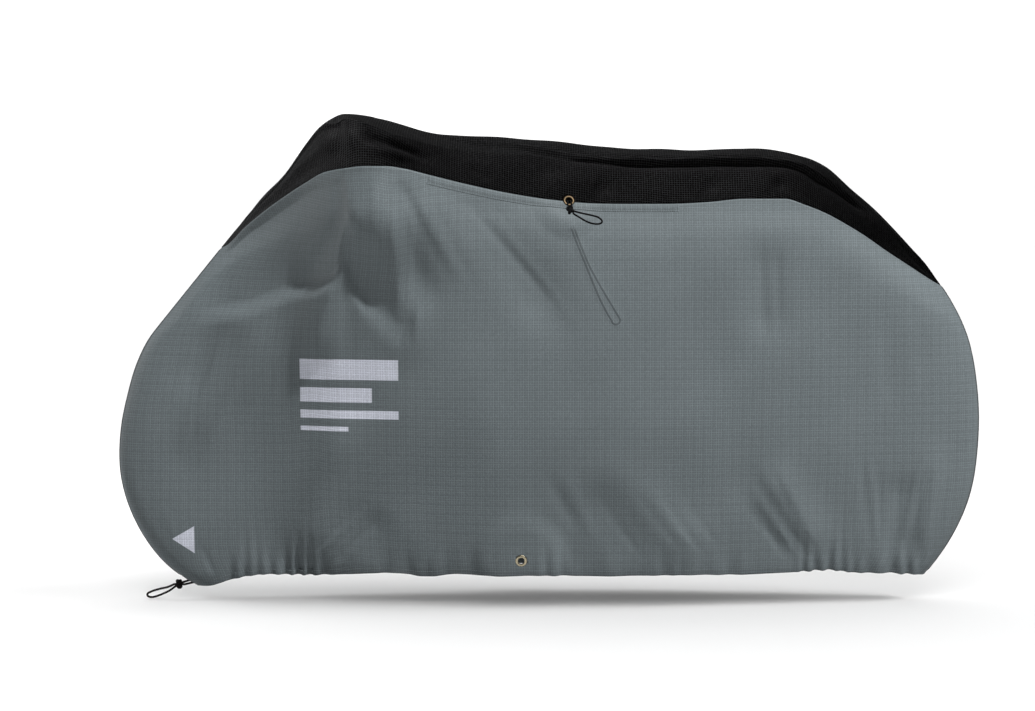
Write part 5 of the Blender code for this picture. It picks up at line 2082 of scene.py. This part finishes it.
@dataclass(frozen=True)
class Studio:
    """A pale floor, soft light and the camera of the photograph."""

    camera_place: tuple[float, float, float] = (-0.07197, -7.0, 1.10)
    tilt_down: float = 4.54374
    lens: float = 109.95
    half_floor: float = 60.0
    key: Sun = Sun("key", (-0.40, 0.40, -0.82), 7.0, 2.5)
    top: Sun = Sun("top_light", (0.50, 0.0, -0.86), 10.0, 8.0)
    floor_suns: tuple = (
        Sun("floor_light_0", (0.0, 0.0, -1.0), 0.85, 175.0),
        Sun("floor_light_1", (-0.70, 0.09, -0.70), 1.35, 25.0),
        Sun("floor_light_2", (0.0, 0.72, -0.70), 1.25, 40.0),
        Sun("floor_light_3", (-0.15, -0.45, -0.88), 0.70, 50.0),
    )
    floor_fill: Sun = Sun("floor_fill", (0.0, 0.0, -1.0), 0.50, 5.0)
    rim_place: tuple[float, float, float] = (-3.6, 1.2, 1.2)
    rim_target: tuple[float, float, float] = (-0.7, 0.0, 0.5)
    rim_size: float = 1.6
    rim_power: float = 60.0
    soft: float = 0.10           # strength of the light from all round
    backdrop: float = 1.3        # strength of the white behind the floor

    def camera(self) -> None:
        """The camera, at the photograph's place."""
        data = bpy.data.cameras.new("camera")
        data.lens = self.lens
        data.sensor_width = 36.0
        camera = linked("camera", data)
        camera.location = Vector(self.camera_place) - Vector(SHAPE.drop)
        camera.rotation_euler = (math.radians(90.0 - self.tilt_down), 0.0, 0.0)
        bpy.context.scene.camera = camera

    def floor(self) -> bpy.types.Object:
        """A large plain floor at the ground's height.

        Returns:
            The floor.
        """
        material = Graph.material("pale_floor").finish((0.80, 0.80, 0.80), 0.9,
                                                       Specular_IOR_Level=0.1)
        edge = np.linspace(-self.half_floor, self.half_floor, 9)
        x, y = np.meshgrid(edge, edge)
        faces = grid_faces(9, 9)[:, ::-1]
        floor = mesh_object("floor", np.stack([x, y, np.zeros_like(x)], -1), faces, material)
        floor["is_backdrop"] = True
        return floor

    def rim(self) -> None:
        """A soft square light on the front end, from behind it."""
        data = bpy.data.lights.new("front_rim", "AREA")
        data.shape = "RECTANGLE"
        data.size = data.size_y = self.rim_size
        data.energy = self.rim_power
        light = linked("front_rim", data, Vector(self.rim_target) - Vector(self.rim_place))
        light.location = Vector(self.rim_place) - Vector(SHAPE.drop)

    def world(self) -> None:
        """Soft light from all round, which the camera sees as white."""
        graph = Graph(bpy.data.worlds.new("studio"))
        soft, white = (graph.node("Background", {"Color": (1.0,) * 4, "Strength": strength})
                       for strength in (self.soft, self.backdrop))
        seen = graph.node("LightPath", output="Is Camera Ray")
        graph.node("OutputWorld", {"Surface": graph.node("MixShader", {0: seen, 1: soft, 2: white})})
        bpy.context.scene.world = graph.owner
        bpy.context.scene.view_settings.view_transform = "Standard"

    def lights(self, cloth: Sequence[bpy.types.Object], top: bpy.types.Object) -> None:
        """The floor, a key on the sides, a steeper one on the top, and light on the floor.

        Args:
            cloth: The large pieces of cloth, which alone cast the key's shadows.
            top: The black top.
        """
        floor = self.floor()
        self.key.build([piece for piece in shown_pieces() if piece is not top], cloth)
        self.top.build([top])
        for sun in self.floor_suns:
            sun.build([floor])
        self.floor_fill.build([floor], [floor])
        self.rim()
        self.world()


def main() -> None:
    """Builds the camera, the cords, the cloth, the metal, the sewing and the lights."""
    logging.basicConfig(level=logging.INFO, format="%(message)s")
    studio = Studio()
    studio.camera()
    cords = Drawcords()
    cords.build_top()
    cords.build_front()

    grey = (0.090, 0.105, 0.111)
    plain = Ripstop("grey_ripstop", grey).material()
    printed = Ripstop("printed_ripstop", grey, PlainPrint()).material()
    # Its lift and groove are painted highlight and shade, stronger than on the grey.
    black = Ripstop("black_ripstop", (0.0030, 0.0030, 0.0031), lift=1.4, groove=0.6, fine=7.0,
                    mottle=0.9, weave=1.0, roughness=0.5, gloss=0.01).material()
    dull = Brass("dull_brass", (0.048, 0.034, 0.020), (0.005, 0.004, 0.003), 0.55).material()
    brass = Brass("worn_brass", (0.42, 0.37, 0.26), (0.030, 0.024, 0.016), 0.36).material()
    grey_thread = Thread("grey_thread", (0.085, 0.098, 0.104)).material()
    shaded_thread = Thread("shaded_thread", (0.026, 0.030, 0.032)).material()
    dark_tape = Thread("dark_tape", (0.020, 0.022, 0.024)).material()

    strips = {side: CasingStrip(SidePanel(side)) for side in Side}
    near = strips[Side.NEAR].panel.build(printed)
    far = strips[Side.FAR].panel.build(plain)
    top = TopGusset().build(black)
    strips[Side.NEAR].build(plain)
    for node, slot, metal in (("top_eyelet", "top_brass", dull),
                              ("near_hem_eyelet", "near_brass", brass),
                              ("far_hem_eyelet", "far_brass", brass)):
        Eyelet(node, slot).build(metal)

    for side, strip in strips.items():
        rows = stitched_rows(strip, (0.0075,), 0.012, 0.988, 0.0008)
        rows += stitched_rows(strip, (0.983,), 0.03, 0.97, 0.0008)
        Stitches(f"{side.title}_topstitching").build(rows, grey_thread)
    Stitches("casing_stitching", radius=0.0004).build(strips[Side.NEAR].seams(), shaded_thread)
    EndSeam("front_end_seam", SHAPE.front, 0.957).build(dark_tape)
    EndSeam("rear_end_seam", SHAPE.rear, 0.992).build(dark_tape)

    studio.lights([near, far, top], top)


if __name__ == "__main__":
    main()
